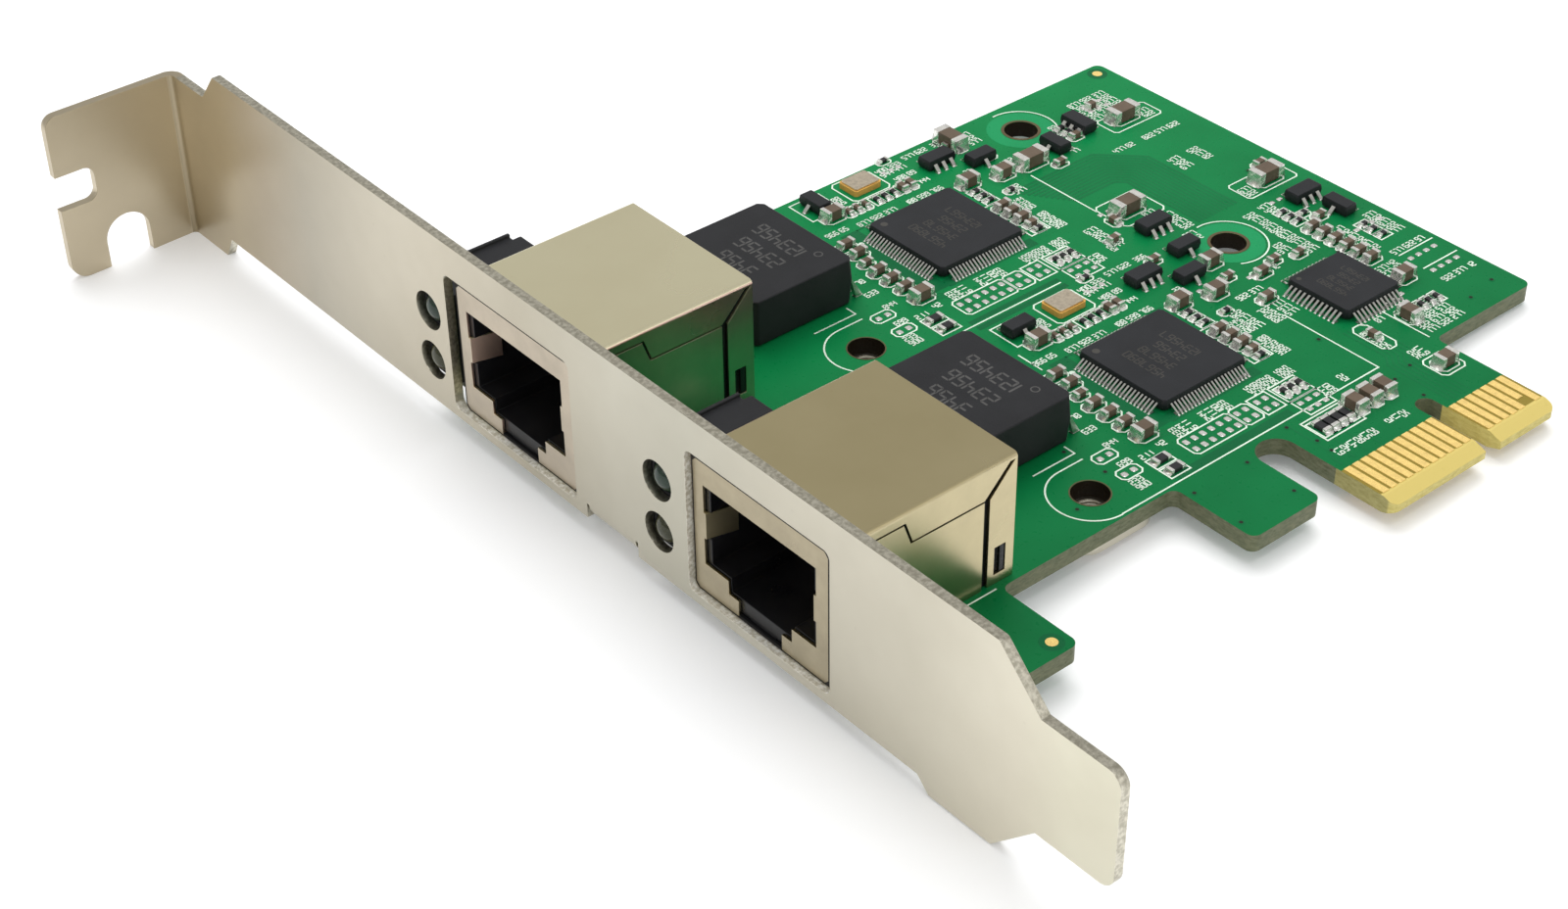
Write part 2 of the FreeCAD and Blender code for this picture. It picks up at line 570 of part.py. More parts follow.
def solder_joint(x, y, radius, pin_length, pin_width):
    """Four-sided solder fillet under the board with the flat pin's tip standing out of it."""
    base = -BOARD_THICK
    low = base - SOLDER_HEIGHT
    half = pin_length / 2 + 0.05
    thin = pin_width / 2 + 0.05
    corners = []
    for reach_x, reach_y, z in ((radius, radius, base), (half, thin, low)):
        for u, v in ((-1, -1), (1, -1), (1, 1), (-1, 1)):
            corners.append(Vector(x + u * reach_x, y + v * reach_y, z))
    sides = [[k, (k + 1) % 4, (k + 1) % 4 + 4, k + 4] for k in range(4)]
    faces = [Part.Face(Part.makePolygon([corners[k] for k in side + side[:1]]))
             for side in sides + [[0, 1, 2, 3], [4, 5, 6, 7]]]
    fillet = Part.makeSolid(Part.makeShell(faces))
    tip = block(x - pin_length / 2, x + pin_length / 2, y - pin_width / 2, y + pin_width / 2,
                base - PIN_TAIL, low)
    return fillet.fuse(tip)


def jack_joints(y):
    """Joints of the eight contact pins and the two shield legs."""
    joints = []
    for k in range(WIRE_COUNT):
        x = JACK_FACE + PIN_ROW_X + (k % 2) * PIN_ROW_SPREAD
        joints.append(solder_joint(x, y + (k - (WIRE_COUNT - 1) / 2) * PIN_PITCH, 0.7, 0.45, 0.3))
    for side in (-1, 1):
        leg_y = y + side * (JACK_WIDTH / 2 - 0.4)
        joints.append(solder_joint(JACK_FACE + LEG_X, leg_y, 1.0, 1.0, 0.3))
    return joints


# ---------------------------------------------------------------- lamp blocks
def lamp_block(y):
    """Black holder of the two stacked lamps, stepped and notched at its back."""
    half = LAMP_BLOCK_WIDTH / 2
    front = BACK + BLOCK_GAP
    back = front + LAMP_BLOCK_DEPTH
    holder = block(front, back, y - half, y + half, 0, LAMP_BLOCK_HEIGHT)
    for side in (-1, 1):
        low, high = sorted((y + side * (half - 0.7), y + side * (half + 1)))
        holder = holder.cut(block(back - 0.8, back + 1, low, high, -1, LAMP_BLOCK_HEIGHT + 1))
    rib_low, rib_high = y + half - 0.35, y + half
    rib = block(front, back - 0.8, rib_low, rib_high, LAMP_BLOCK_HEIGHT - 0.5, LAMP_BLOCK_HEIGHT + 0.3)
    holder = holder.fuse(rib)
    for level in (LAMP_LOW_Z, LAMP_LOW_Z + LAMP_PITCH):
        holder = holder.cut(rod(front - 1, y, level, LAMP_R, LAMP_SEAT + 1, Vector(1, 0, 0)))
    return holder.removeSplitter()


def lamp(y, level):
    """Round lamp with a blunt end that looks out through the bracket."""
    tip = FACE + LAMP_RECESS
    return rod(tip, y, level, LAMP_R, BACK + BLOCK_GAP + LAMP_SEAT - tip, Vector(1, 0, 0))


def lamp_joints(y):
    """Joints of the four lamp pins of one block."""
    places = [(x, side) for x in (4.6, 7.1) for side in (-1, 1)]
    return [solder_joint(FACE + x, y + side * PIN_PITCH, 0.65, 0.45, 0.45) for x, side in places]


# ---------------------------------------------------------------- packages with leads
def gull_lead(x, y, direction, reach, width, shoulder, thick, foot):
    """One bent lead from a body's side at (x, y), running out along a direction."""
    sole = [(reach, 0, 0), (reach - foot, 0, 0)] if foot > 0 else [(reach, 0, 0)]
    profile = [(0, shoulder, 0), (reach, thick, 0)] + sole + [(0, shoulder - thick, 0)]
    lead = prism(profile, in_xz(-width / 2), Vector(0, width, 0))
    lead.rotate(Vector(0, 0, 0), Vector(0, 0, 1), math.degrees(math.atan2(direction[1], direction[0])))
    lead.translate(Vector(x, y, 0))
    return lead


def lead_row(x, y, direction, count, pitch, **form):
    """Leads side by side along one edge of a package, centred on (x, y)."""
    across = (-direction[1], direction[0])
    row = []
    for k in range(count):
        shift = (k - (count - 1) / 2) * pitch
        row.append(gull_lead(x + across[0] * shift, y + across[1] * shift, direction, **form))
    return row


def cut_corners(x0, x1, y0, y1, cut):
    """Corners of a rectangle whose own corners are cut off."""
    if cut <= 0:
        return rectangle(x0, x1, y0, y1)
    return [(x0 + cut, y0, 0), (x1 - cut, y0, 0), (x1, y0 + cut, 0), (x1, y1 - cut, 0),
            (x1 - cut, y1, 0), (x0 + cut, y1, 0), (x0, y1 - cut, 0), (x0, y0 + cut, 0)]


def frustum(lower, upper, low, high):
    """Solid with flat sides between two like outlines at two levels."""
    rings = [[Vector(u, v, z) for u, v, _ in ring] for ring, z in ((lower, low), (upper, high))]
    count = len(lower)
    faces = [Part.Face(Part.makePolygon(ring + ring[:1])) for ring in rings]
    for k in range(count):
        n = (k + 1) % count
        side = [rings[0][k], rings[0][n], rings[1][n], rings[1][k]]
        faces.append(Part.Face(Part.makePolygon(side + side[:1])))
    return Part.makeSolid(Part.makeShell(faces))


def moulded_body(x, y, length, width, stand, high, corner=0.3, draft=0.12):
    """Moulded package: two drafted halves that meet at the parting line."""
    middle = (stand + high) / 2
    half_x, half_y = length / 2, width / 2
    widest = cut_corners(x - half_x, x + half_x, y - half_y, y + half_y, corner)
    inner = cut_corners(x - half_x + draft, x + half_x - draft,
                        y - half_y + draft, y + half_y - draft, corner)
    return frustum(inner, widest, stand, middle).fuse(frustum(widest, inner, middle, high))


def transformer(y):
    """Moulded magnetics module."""
    x = (COIL_X0 + COIL_X1) / 2
    return moulded_body(x, y, COIL_X1 - COIL_X0, COIL_WIDTH, COIL_STAND, COIL_HEIGHT, 0.5, 0.15)


def transformer_leads(y):
    """Leads along the two ends that face the socket and the chip."""
    form = dict(reach=1.2, width=0.45, shoulder=COIL_HEIGHT / 2, thick=0.25, foot=0.6)
    row = lead_row(COIL_X1, y, (1, 0), COIL_LEAD_COUNT, COIL_LEAD_PITCH, **form)
    return row + lead_row(COIL_X0, y, (-1, 0), COIL_LEAD_COUNT, COIL_LEAD_PITCH, **form)


def flat_pack(x, y, size):
    """Square moulded flat package."""
    return moulded_body(x, y, size, size, CHIP_STAND, CHIP_STAND + CHIP_THICK)


def flat_pack_leads(x, y, size, count, pitch):
    """Leads on all four sides of a square flat package."""
    form = dict(reach=CHIP_LEAD_REACH, width=pitch * 0.45, shoulder=CHIP_STAND + CHIP_THICK * 0.6,
                thick=0.12, foot=0)
    leads = []
    for direction in ((1, 0), (0, 1), (-1, 0), (0, -1)):
        edge_x = x + direction[0] * size / 2
        edge_y = y + direction[1] * size / 2
        leads += lead_row(edge_x, edge_y, direction, count, pitch, **form)
    return leads


def small_package(x, y, turned, size, lead_counts):
    """Small moulded part with leads on its two long sides: body and leads."""
    length, width = size
    plan = (width, length) if turned else size
    body = moulded_body(x, y, plan[0], plan[1], PACKAGE_STAND, PACKAGE_TOP, 0, 0.08)
    form = dict(reach=0.55, width=0.4, shoulder=PACKAGE_TOP * 0.6, thick=0.14, foot=0.27)
    axis = (1, 0) if turned else (0, 1)
    leads = []
    for sign, count in zip((1, -1), lead_counts):
        direction = (axis[0] * sign, axis[1] * sign)
        edge = (x + direction[0] * width / 2, y + direction[1] * width / 2)
        pitch = PACKAGE_LEAD_PITCH * (2 if count == 2 else 1)
        leads += lead_row(edge[0], edge[1], direction, count, pitch, **form)
    return body, leads


# ---------------------------------------------------------------- crystals
def crystal(controller_y):
    """Ceramic base and the metal lid on it, above a controller."""
    y = controller_y + CHIP_SIZE / 2 + CHIP_LEAD_REACH + CRYSTAL_ABOVE
    half_x, half_y = CRYSTAL_LENGTH / 2, CRYSTAL_WIDTH / 2
    plan = cut_corners(CHIP_X - half_x, CHIP_X + half_x, y - half_y, y + half_y, 0.2)
    base = prism(plan, in_xy(), Vector(0, 0, CRYSTAL_BASE))
    half_x, half_y = half_x - CRYSTAL_RIM, half_y - CRYSTAL_RIM
    plan = cut_corners(CHIP_X - half_x, CHIP_X + half_x, y - half_y, y + half_y, 0.15)
    return base, prism(plan, in_xy(CRYSTAL_BASE), Vector(0, 0, CRYSTAL_LID))


# ---------------------------------------------------------------- two-ended parts
def two_ended(x, y, size, turned):
    """Body between two metal ends; turned means that it lies along Y."""
    length, width, height = size
    end = length * END_SHARE
    body = block(-length / 2 + end, length / 2 - end, -width / 2 + END_LIP, width / 2 - END_LIP,
                 END_LIP, height - END_LIP)
    ends = [block(-length / 2, -length / 2 + end, -width / 2, width / 2, 0, height),
            block(length / 2 - end, length / 2, -width / 2, width / 2, 0, height)]
    for piece in [body] + ends:
        if turned:
            piece.rotate(Vector(0, 0, 0), Vector(0, 0, 1), 90)
        piece.translate(Vector(x, y, 0))
    return body, ends


def line_up(x, y, step_x, step_y, count):
    """Evenly spaced places."""
    return [(x + k * step_x, y + k * step_y) for k in range(count)]


def lead_tips(x, y, size):
    """Left, right, lower and upper reach of a flat pack with its leads."""
    reach = size / 2 + CHIP_LEAD_REACH
    return x - reach, x + reach, y - reach, y + reach


def capacitor_places():
    """(x, y, size, turned) of the ceramic capacitors."""
    places = [(x, y, CAP_LARGE, True) for x, y in line_up(-4.7, KEY_DEPTH + 2.7, 1.75, 0, 3)]
    for lift in (0.0, CIRCUIT_PITCH):
        y0 = CHIP_LOW_Y + lift
        left, right, low, high = lead_tips(CHIP_X, y0, CHIP_SIZE)
        places += [(x, y, CAP_MEDIUM, False) for x, y in line_up(left - 2.6, y0 - 4.0, 0, 1.75, 3)]
        places += [(x, y, CAP_MEDIUM, False) for x, y in line_up(left - 2.0, y0 + 2.8, 0, 1.7, 2)]
        places += [(left - 2.4, low, CAP_LARGE, False), (CHIP_X - 5.5, high + 3.2, CAP_LARGE, False)]
        places += [(x, y, CAP_MEDIUM, False) for x, y in line_up(right + 1.3, y0 - 2.4, 0, 1.3, 3)]
        places += [(right + 1.8, high - 0.6, CAP_LARGE, False)]
        places += [(right + 5.4, high - 1.5, CAP_LARGE, False)]
        places += [(x, y, CAP_SMALL, True) for x, y in line_up(CHIP_X - 3.9, high + 2.8, 1.0, 0, 3)]
    left, right, low, high = lead_tips(BRIDGE_X, BRIDGE_Y, BRIDGE_SIZE)
    places += [(x, y, CAP_MEDIUM, False) for x, y in line_up(right + 1.35, BRIDGE_Y + 1.7, 0, 1.35, 6)]
    places += [(right + 1.15, BRIDGE_Y - 2.1, CAP_LARGE, False)]
    places += [(BRIDGE_X + 1.15, low - 2.0, CAP_LARGE, True)]
    places += [(left - 1.55, BRIDGE_Y + 3.4, CAP_MEDIUM, False)]
    places += [(BRIDGE_X - 3.25, high + 2.0, CAP_MEDIUM, False)]
    places += [(right + 4.75, BRIDGE_Y + 17.1, CAP_WIDE, False)]
    places += [(5.8, KEY_DEPTH + 1.9, CAP_LARGE, False)]
    (x, upper), (x, lower) = FAR_HOLES
    places += [(x - 3.85, lower - 1.3, CAP_LARGE, False), (x - 2.85, lower + 9.8, CAP_WIDE, False)]
    places += [(x + 8.95, upper - 4.65, CAP_WIDE, False), (x - 3.65, upper - 5.05, CAP_WIDE, False)]
    places += [(x - 6.85, upper + 2.45, CAP_WIDE, True)]
    return places


def resistor_places():
    """(x, y, size, turned) of the chip resistors."""
    places = [(x, y, RES_MEDIUM, True) for x, y in line_up(-9.0, KEY_DEPTH + 2.5, 0.95, 0, 4)]
    for lift in (0.0, CIRCUIT_PITCH):
        y0 = CHIP_LOW_Y + lift
        left, right, low, high = lead_tips(CHIP_X, y0, CHIP_SIZE)
        places += [(x, y, RES_MEDIUM, False) for x, y in line_up(left - 3.9, low - 4.9, 0, 1.55, 2)]
        places += [(x, y, RES_SMALL, True) for x, y in line_up(right - 1.2, low - 3.4, 0.9, 0, 3)]
        places += [(x, y, RES_SMALL, False) for x, y in line_up(right + 1.4, y0 + 1.9, 0, 0.95, 3)]
        places += [(x, y, RES_SMALL, True) for x, y in line_up(CHIP_X - 0.5, high + 2.8, 1.0, 0, 3)]
    left, right, low, high = lead_tips(BRIDGE_X, BRIDGE_Y, BRIDGE_SIZE)
    places += [(x, y, RES_SMALL, True) for x, y in line_up(BRIDGE_X + 3.35, low - 1.5, 1.0, 0, 3)]
    places += [(x, y, RES_SMALL, False) for x, y in line_up(right + 1.35, BRIDGE_Y + 10.1, 0, 0.95, 3)]
    places += [(x, y, RES_SMALL, False) for x, y in line_up(right + 5.35, BRIDGE_Y + 3.7, 0, 1.1, 3)]
    return places


def transistor_places():
    """(x, y, turned) of the three-lead parts; turned means that they lie along Y."""
    (x, upper), (x, lower) = FAR_HOLES
    bridge_right = lead_tips(BRIDGE_X, BRIDGE_Y, BRIDGE_SIZE)[1]
    places = [(x - 4.05, lower + 1.7, False), (bridge_right + 5.65, BRIDGE_Y + 9.1, True)]
    places += [(x + 0.05, upper - 4.55, True)]
    for lift in (0.0, CIRCUIT_PITCH):
        right, _, high = lead_tips(CHIP_X, CHIP_LOW_Y + lift, CHIP_SIZE)[1:]
        places += [(CHIP_X - 5.6, high + 5.5, lift > 0), (right + 5.5, high + 1.7, False)]
    return places


def regulator_places():
    """(x, y, turned) of the six-lead parts."""
    (x, upper), (x, lower) = FAR_HOLES
    bridge_right = lead_tips(BRIDGE_X, BRIDGE_Y, BRIDGE_SIZE)[1]
    places = [(bridge_right + 4.85, BRIDGE_Y + 12.7, False), (x - 3.35, lower + 6.1, False)]
    places += [(x + 4.45, upper - 3.25, True)]
    for lift in (0.0, CIRCUIT_PITCH):
        right, _, high = lead_tips(CHIP_X, CHIP_LOW_Y + lift, CHIP_SIZE)[1:]
        places += [(right + 2.2, high + 4.1, False)]
    return places


def save_packages(name, places, size, lead_counts):
    """Bodies and leads of one kind of small moulded part."""
    bodies, leads = [], []
    for x, y, turned in places:
        body, legs = small_package(x, y, turned, size, lead_counts)
        bodies.append(body)
        leads += legs
    save(name + "s", bodies)
    save(name + "_leads", leads)


def save_two_ended(name, places):
    """Bodies and ends of one kind of two-ended part."""
    bodies, ends = [], []
    for x, y, size, turned in places:
        body, pair = two_ended(x, y, size, turned)
        bodies.append(body)
        ends += pair
    save(name + "_bodies", bodies)
    save(name + "_ends", ends)


def main():
    os.makedirs("parts", exist_ok=True)
    save("bracket", bracket())
    save("circuit_board", circuit_board())
    save("edge_contacts_front", edge_contacts(0, CONTACTS_LEFT + CONTACTS_RIGHT - 2))
    save("edge_contacts_back", edge_contacts(-BOARD_THICK - CONTACT_THICK, 0))
    for number, y in enumerate(JACK_YS, 1):
        lamp_y = y + LAMP_OFFSET
        lift = (2 - number) * CIRCUIT_PITCH
        chip_y = CHIP_LOW_Y + lift
        save("jack_shield_%d" % number, jack_shield(y))
        save("jack_housing_%d" % number, jack_housing(y))
        save("jack_contacts_%d" % number, jack_wires(y))
        save("lamp_block_%d" % number, lamp_block(lamp_y))
        save("lamp_upper_%d" % number, lamp(lamp_y, LAMP_LOW_Z + LAMP_PITCH))
        save("lamp_lower_%d" % number, lamp(lamp_y, LAMP_LOW_Z))
        save("solder_joints_%d" % number, jack_joints(y) + lamp_joints(lamp_y))
        save("transformer_%d" % number, transformer(COIL_LOW_Y + lift))
        save("transformer_leads_%d" % number, transformer_leads(COIL_LOW_Y + lift))
        save("controller_%d" % number, flat_pack(CHIP_X, chip_y, CHIP_SIZE))
        save("controller_leads_%d" % number,
             flat_pack_leads(CHIP_X, chip_y, CHIP_SIZE, CHIP_LEAD_COUNT, CHIP_LEAD_PITCH))
        base, lid = crystal(chip_y)
        save("crystal_%d" % number, base)
        save("crystal_lid_%d" % number, lid)
    save("bridge_chip", flat_pack(BRIDGE_X, BRIDGE_Y, BRIDGE_SIZE))
    save("bridge_chip_leads",
         flat_pack_leads(BRIDGE_X, BRIDGE_Y, BRIDGE_SIZE, BRIDGE_LEAD_COUNT, BRIDGE_LEAD_PITCH))
    save_packages("transistor", transistor_places(), TRANSISTOR_SIZE, TRANSISTOR_LEAD_COUNT)
    save_packages("regulator", regulator_places(), REGULATOR_SIZE, REGULATOR_LEAD_COUNT)
    save_two_ended("capacitor", capacitor_places())
    save_two_ended("resistor", resistor_places())


main()
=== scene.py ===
"""Looks of the two-port network card: materials, board print, solder, plating, lights and camera.

Lengths are millimetres in the card's own frame, and put() turns them into metres.
The lamps and the floor's size are in metres.
"""

import math

import bmesh
import bpy
from mathutils import Matrix, Vector


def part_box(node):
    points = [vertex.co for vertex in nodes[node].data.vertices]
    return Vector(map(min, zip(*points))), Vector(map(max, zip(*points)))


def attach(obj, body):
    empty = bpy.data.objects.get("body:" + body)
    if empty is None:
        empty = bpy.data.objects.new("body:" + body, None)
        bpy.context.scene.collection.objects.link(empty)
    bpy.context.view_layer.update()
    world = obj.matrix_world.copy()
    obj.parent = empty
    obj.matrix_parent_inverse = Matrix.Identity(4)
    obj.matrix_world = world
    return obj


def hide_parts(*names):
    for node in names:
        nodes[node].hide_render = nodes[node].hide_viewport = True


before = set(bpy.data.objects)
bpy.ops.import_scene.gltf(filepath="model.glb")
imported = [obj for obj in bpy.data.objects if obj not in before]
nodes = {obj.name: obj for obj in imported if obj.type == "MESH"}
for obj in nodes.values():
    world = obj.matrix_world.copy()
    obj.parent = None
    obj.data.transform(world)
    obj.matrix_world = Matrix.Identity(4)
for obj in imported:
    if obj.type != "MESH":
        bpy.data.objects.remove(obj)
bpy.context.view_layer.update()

MM = 0.001
CIRCUIT_PITCH = 26.55      # from one socket's circuit to the other's
LIFTS = (0.0, CIRCUIT_PITCH)
HOLE_R = 1.6
PLATE_INNER = -58.2        # 0.01 short of the inner side of the bracket's sheet
TAB_FOLD = 103.0           # just below the fold of the screw tab
SHIELDS = ("jack_shield_1", "jack_shield_2")


def box_of(node):
    """A node's lowest and highest corner, in millimetres."""
    low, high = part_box(node)
    return Vector(low) / MM, Vector(high) / MM


UNDERSIDE = box_of("circuit_board")[0].z
CONTACT_LOW, CONTACT_HIGH = box_of("edge_contacts_front")
CONTACT_START = CONTACT_LOW.y + 0.05
CONTACT_END = CONTACT_HIGH.y
SECTION_LEFT = CONTACT_LOW.x - 0.3
NEAR_HOLES = [(-29.15, 16.4 + lift) for lift in LIFTS]
FAR_HOLES = [(6.25, 34.3 + lift) for lift in LIFTS]
HOLES = NEAR_HOLES + FAR_HOLES


# ---------------- materials
def color_bands(ramp, stops):
    """Fills a colour ramp's node with stops of place and colour."""
    bands = ramp.color_ramp.elements
    while len(bands) < len(stops):
        bands.new(0.5)
    for band, (place, color) in zip(bands, stops):
        band.position = place
        band.color = (*color, 1.0)


class Finish:
    """A principled material with short ways to add procedural detail."""

    def __init__(self, name, color, rough, metallic=0.0, **fixed):
        self.material = bpy.data.materials.new(name)
        self.material.use_nodes = True
        self.tree = self.material.node_tree
        self.shader = self.tree.nodes["Principled BSDF"]
        self.set("Base Color", (*color, 1.0))
        self.set("Roughness", rough)
        self.set("Metallic", metallic)
        for key, value in fixed.items():
            self.set(key.replace("_", " "), value)
        self.coords = self.node("ShaderNodeTexCoord")
        self.bumped = None

    def set(self, socket, value):
        self.shader.inputs[socket].default_value = value

    def node(self, kind):
        return self.tree.nodes.new(kind)

    def link(self, source, target):
        self.tree.links.new(source, target)

    def feed(self, value, socket):
        """Gives a socket a number, a colour or what another socket holds."""
        if isinstance(value, bpy.types.NodeSocket):
            self.link(value, socket)
        elif isinstance(value, float):
            socket.default_value = value
        else:
            socket.default_value = (*value, 1.0)

    def base(self):
        """What the base colour is linked to."""
        return self.shader.inputs["Base Color"].links[0].from_socket

    def mapped(self, scale):
        mapping = self.node("ShaderNodeMapping")
        mapping.inputs["Scale"].default_value = scale
        self.link(self.coords.outputs["Object"], mapping.inputs["Vector"])
        return mapping.outputs["Vector"]

    def noise(self, size, detail=3.0, rough=0.5, stretch=(1, 1, 1)):
        """Noise whose blobs are about size millimetres, stretched along an axis."""
        node = self.node("ShaderNodeTexNoise")
        node.inputs["Scale"].default_value = 1.0
        node.inputs["Detail"].default_value = detail
        node.inputs["Roughness"].default_value = rough
        scale = 1.0 / (size * MM)
        self.link(self.mapped([scale / s for s in stretch]), node.inputs["Vector"])
        return node.outputs["Fac"]

    def specks(self, size, low, high):
        """Small cells that come out white between two thresholds."""
        node = self.node("ShaderNodeTexVoronoi")
        scale = 1.0 / (size * MM)
        self.link(self.mapped((scale,) * 3), node.inputs["Vector"])
        node.inputs["Scale"].default_value = 1.0
        return self.ramp(node.outputs["Distance"], low, high, 1.0, 0.0)

    def ramp(self, value, low, high, start=0.0, end=1.0):
        node = self.node("ShaderNodeMapRange")
        self.link(value, node.inputs["Value"])
        for key, number in (("From Min", low), ("From Max", high), ("To Min", start), ("To Max", end)):
            node.inputs[key].default_value = number
        return node.outputs["Result"]

    def axis(self, name, output="Position"):
        """X, Y or Z of the surface's place or of its normal."""
        geometry = self.node("ShaderNodeNewGeometry")
        parts = self.node("ShaderNodeSeparateXYZ")
        self.link(geometry.outputs[output], parts.inputs[0])
        return parts.outputs[name]

    def mix(self, factor, first, second, blend="MIX"):
        """Colour made from two others, each a colour or a socket."""
        node = self.node("ShaderNodeMix")
        node.data_type = "RGBA"
        node.blend_type = blend
        for place, value in ((0, factor), (6, first), (7, second)):
            self.feed(value, node.inputs[place])
        return node.outputs[2]

    def toned(self, base, factor, stops):
        """Base colour times a colour band that runs along a factor."""
        tone = self.node("ShaderNodeValToRGB")
        self.link(factor, tone.inputs["Fac"])
        color_bands(tone, stops)
        return self.mix(1.0, base, tone.outputs["Color"], "MULTIPLY")

    def combine(self, operation, *values):
        """What a math node makes of one or two values."""
        node = self.node("ShaderNodeMath")
        node.operation = operation
        for value, socket in zip(values, node.inputs):
            self.feed(value, socket)
        return node.outputs[0]

    def color(self, source):
        self.link(source, self.shader.inputs["Base Color"])
        return self

    def rough(self, factor, low, high):
        self.link(self.ramp(factor, 0.3, 0.7, low, high), self.shader.inputs["Roughness"])
        return self

    def bump(self, height, depth):
        """Raises the surface by depth millimetres where height is one."""
        node = self.node("ShaderNodeBump")
        node.inputs["Strength"].default_value = 1.0
        node.inputs["Distance"].default_value = depth * MM
        self.link(height, node.inputs["Height"])
        if self.bumped is not None:
            self.link(self.bumped, node.inputs["Normal"])
        self.bumped = node.outputs["Normal"]
        self.link(self.bumped, self.shader.inputs["Normal"])
        return self


def plated_sheet(name, light, dark, low, high):
    """Rolled and plated sheet: soft clouds, fine rolling lines and a few scuffs."""
    f = Finish(name, light, low, 1.0)
    clouds = f.noise(14.0, 4.0, 0.55)
    rolled = f.noise(0.35, 2.0, 0.5, (1, 40, 1))
    scuffs = f.specks(3.2, 0.035, 0.05)
    tone = f.mix(f.ramp(clouds, 0.3, 0.75), light, dark)
    f.color(f.mix(f.ramp(scuffs, 0.0, 1.0, 0.0, 0.5), tone, dark))
    f.rough(clouds, low, high)
    return f.bump(rolled, 0.0010).bump(f.noise(0.06, 2.0), 0.0005)


def shield_finish(name, light, dark, face, shaded_flank):
    """Tin plate with painted shade on the face and on the near side, chosen by which way each surface faces.
    """
    f = plated_sheet(name, light, dark, 0.24, 0.34)
    top = f.base()
    worn = f.ramp(f.noise(2.2, 4.0, 0.6), 0.35, 0.7)
    # painted shade: the face and the near side get darker tones of their own, picked by the surface's normal
    front = f.ramp(f.axis("X", "Normal"), -0.8, -0.9)
    side = f.ramp(f.axis("Y", "Normal"), -0.8, -0.9)
    faces = f.mix(worn, face, tuple(c * 0.86 for c in face))
    shaded_flanks = f.mix(worn, shaded_flank, tuple(c * 0.92 for c in shaded_flank))
    return f.color(f.mix(front, f.mix(side, top, shaded_flanks), faces))


# painted light and shade: how bright the bracket's plating is at places along Y
BRACKET_LIGHT_BANDS = (
    (-11, (1.28, 1.32, 1.30)), (-6, (1.18, 1.19, 1.19)), (4, (1.02, 1.03, 1.03)),
    (18, (0.96, 0.97, 0.975)), (29, (0.90, 0.93, 0.945)), (38, (0.92, 0.94, 0.95)),
    (50, (0.87, 0.86, 0.835)), (62, (1.01, 1.0, 0.985)), (72, (1.0, 0.995, 0.99)),
    (82, (0.87, 0.87, 0.88)), (89, (0.90, 0.85, 0.81)), (95, (0.94, 0.875, 0.77)),
    (102, (0.96, 0.90, 0.81)), (109, (0.82, 0.76, 0.665)), (118, (0.765, 0.68, 0.54)),
    (128, (0.79, 0.72, 0.54)),
)


def bracket_finish():
    """Satin nickel with bands of painted light and shade along its length, grainy sheared edges, painted
    highlights on the walls of the socket openings and painted shade along the tab's fold.
    """
    f = plated_sheet("nickel", (0.60, 0.56, 0.46), (0.54, 0.50, 0.405), 0.30, 0.40)
    x, y, z = f.axis("X"), f.axis("Y"), f.axis("Z")
    start, length, rim = -16.0, 150.0, 0.9
    stops = [((place - start) / length, color) for place, color in BRACKET_LIGHT_BANDS]
    # painted light and shade: the plating's colour times bands along Y
    base = f.toned(f.base(), f.ramp(y, start * MM, (start + length) * MM), stops)
    across = f.combine("ABSOLUTE", f.axis("X", "Normal"))
    along = f.combine("ABSOLUTE", f.axis("Y", "Normal"))
    grain = f.ramp(f.noise(0.35, 4.0, 0.6), 0.40, 0.62)
    sheared = f.mix(grain, (0.42, 0.395, 0.315), (0.66, 0.63, 0.53))
    plate = within(f, [(y, None, TAB_FOLD * MM), (across, None, 0.5), (x, None, PLATE_INNER * MM)])
    # painted highlight: the walls of the socket openings are made pale and almost non-metal, over the grain
    # of their sheared edges
    highlit_walls = []
    for node in SHIELDS:
        low, high = box_of(node)
        highlit_walls.append(within(f, [(y, (low.y - rim) * MM, (high.y + rim) * MM), (across, None, 0.9),
                                (z, -2.4 * MM, 14.0 * MM), (x, None, PLATE_INNER * MM)]))
    highlit_walls = f.combine("MAXIMUM", *highlit_walls)
    f.link(f.ramp(highlit_walls, 0.0, 1.0, 1.0, 0.15), f.shader.inputs["Metallic"])
    # painted shade: the faces of the tab's fold turn dark brown
    fold = within(f, [(y, TAB_FOLD * MM, None), (across, 0.2, 0.97), (along, 0.2, 0.97)])
    base = f.mix(plate, base, sheared)
    base = f.mix(highlit_walls, base, f.mix(grain, (0.60, 0.56, 0.45), (0.95, 0.93, 0.86)))
    return f.color(f.mix(fold, base, (0.34, 0.285, 0.19)))


def mask(name, light, dark):
    """Solder mask over copper, glossy with a slight orange peel."""
    f = Finish(name, light, 0.3, 0.0, Specular_IOR_Level=0.09)
    weave = f.noise(0.5, 2.0, 0.5)
    clouds = f.noise(7.0, 3.0, 0.5)
    f.color(f.mix(f.ramp(clouds, 0.35, 0.65), light, dark))
    return f.rough(weave, 0.26, 0.4).bump(weave, 0.003)


def moulded(name, color, rough, grain, depth, gloss=0.3):
    """Moulded plastic with a fine grain and slightly dusty patches."""
    f = Finish(name, color, rough, 0.0, Specular_IOR_Level=gloss)
    patches = f.noise(3.5, 4.0, 0.6)
    paler = tuple(c * 1.35 + 0.004 for c in color)
    f.color(f.mix(f.ramp(patches, 0.35, 0.75), color, paler))
    f.rough(patches, rough - 0.07, rough + 0.08)
    return f.bump(f.noise(grain, 3.0, 0.6), depth)


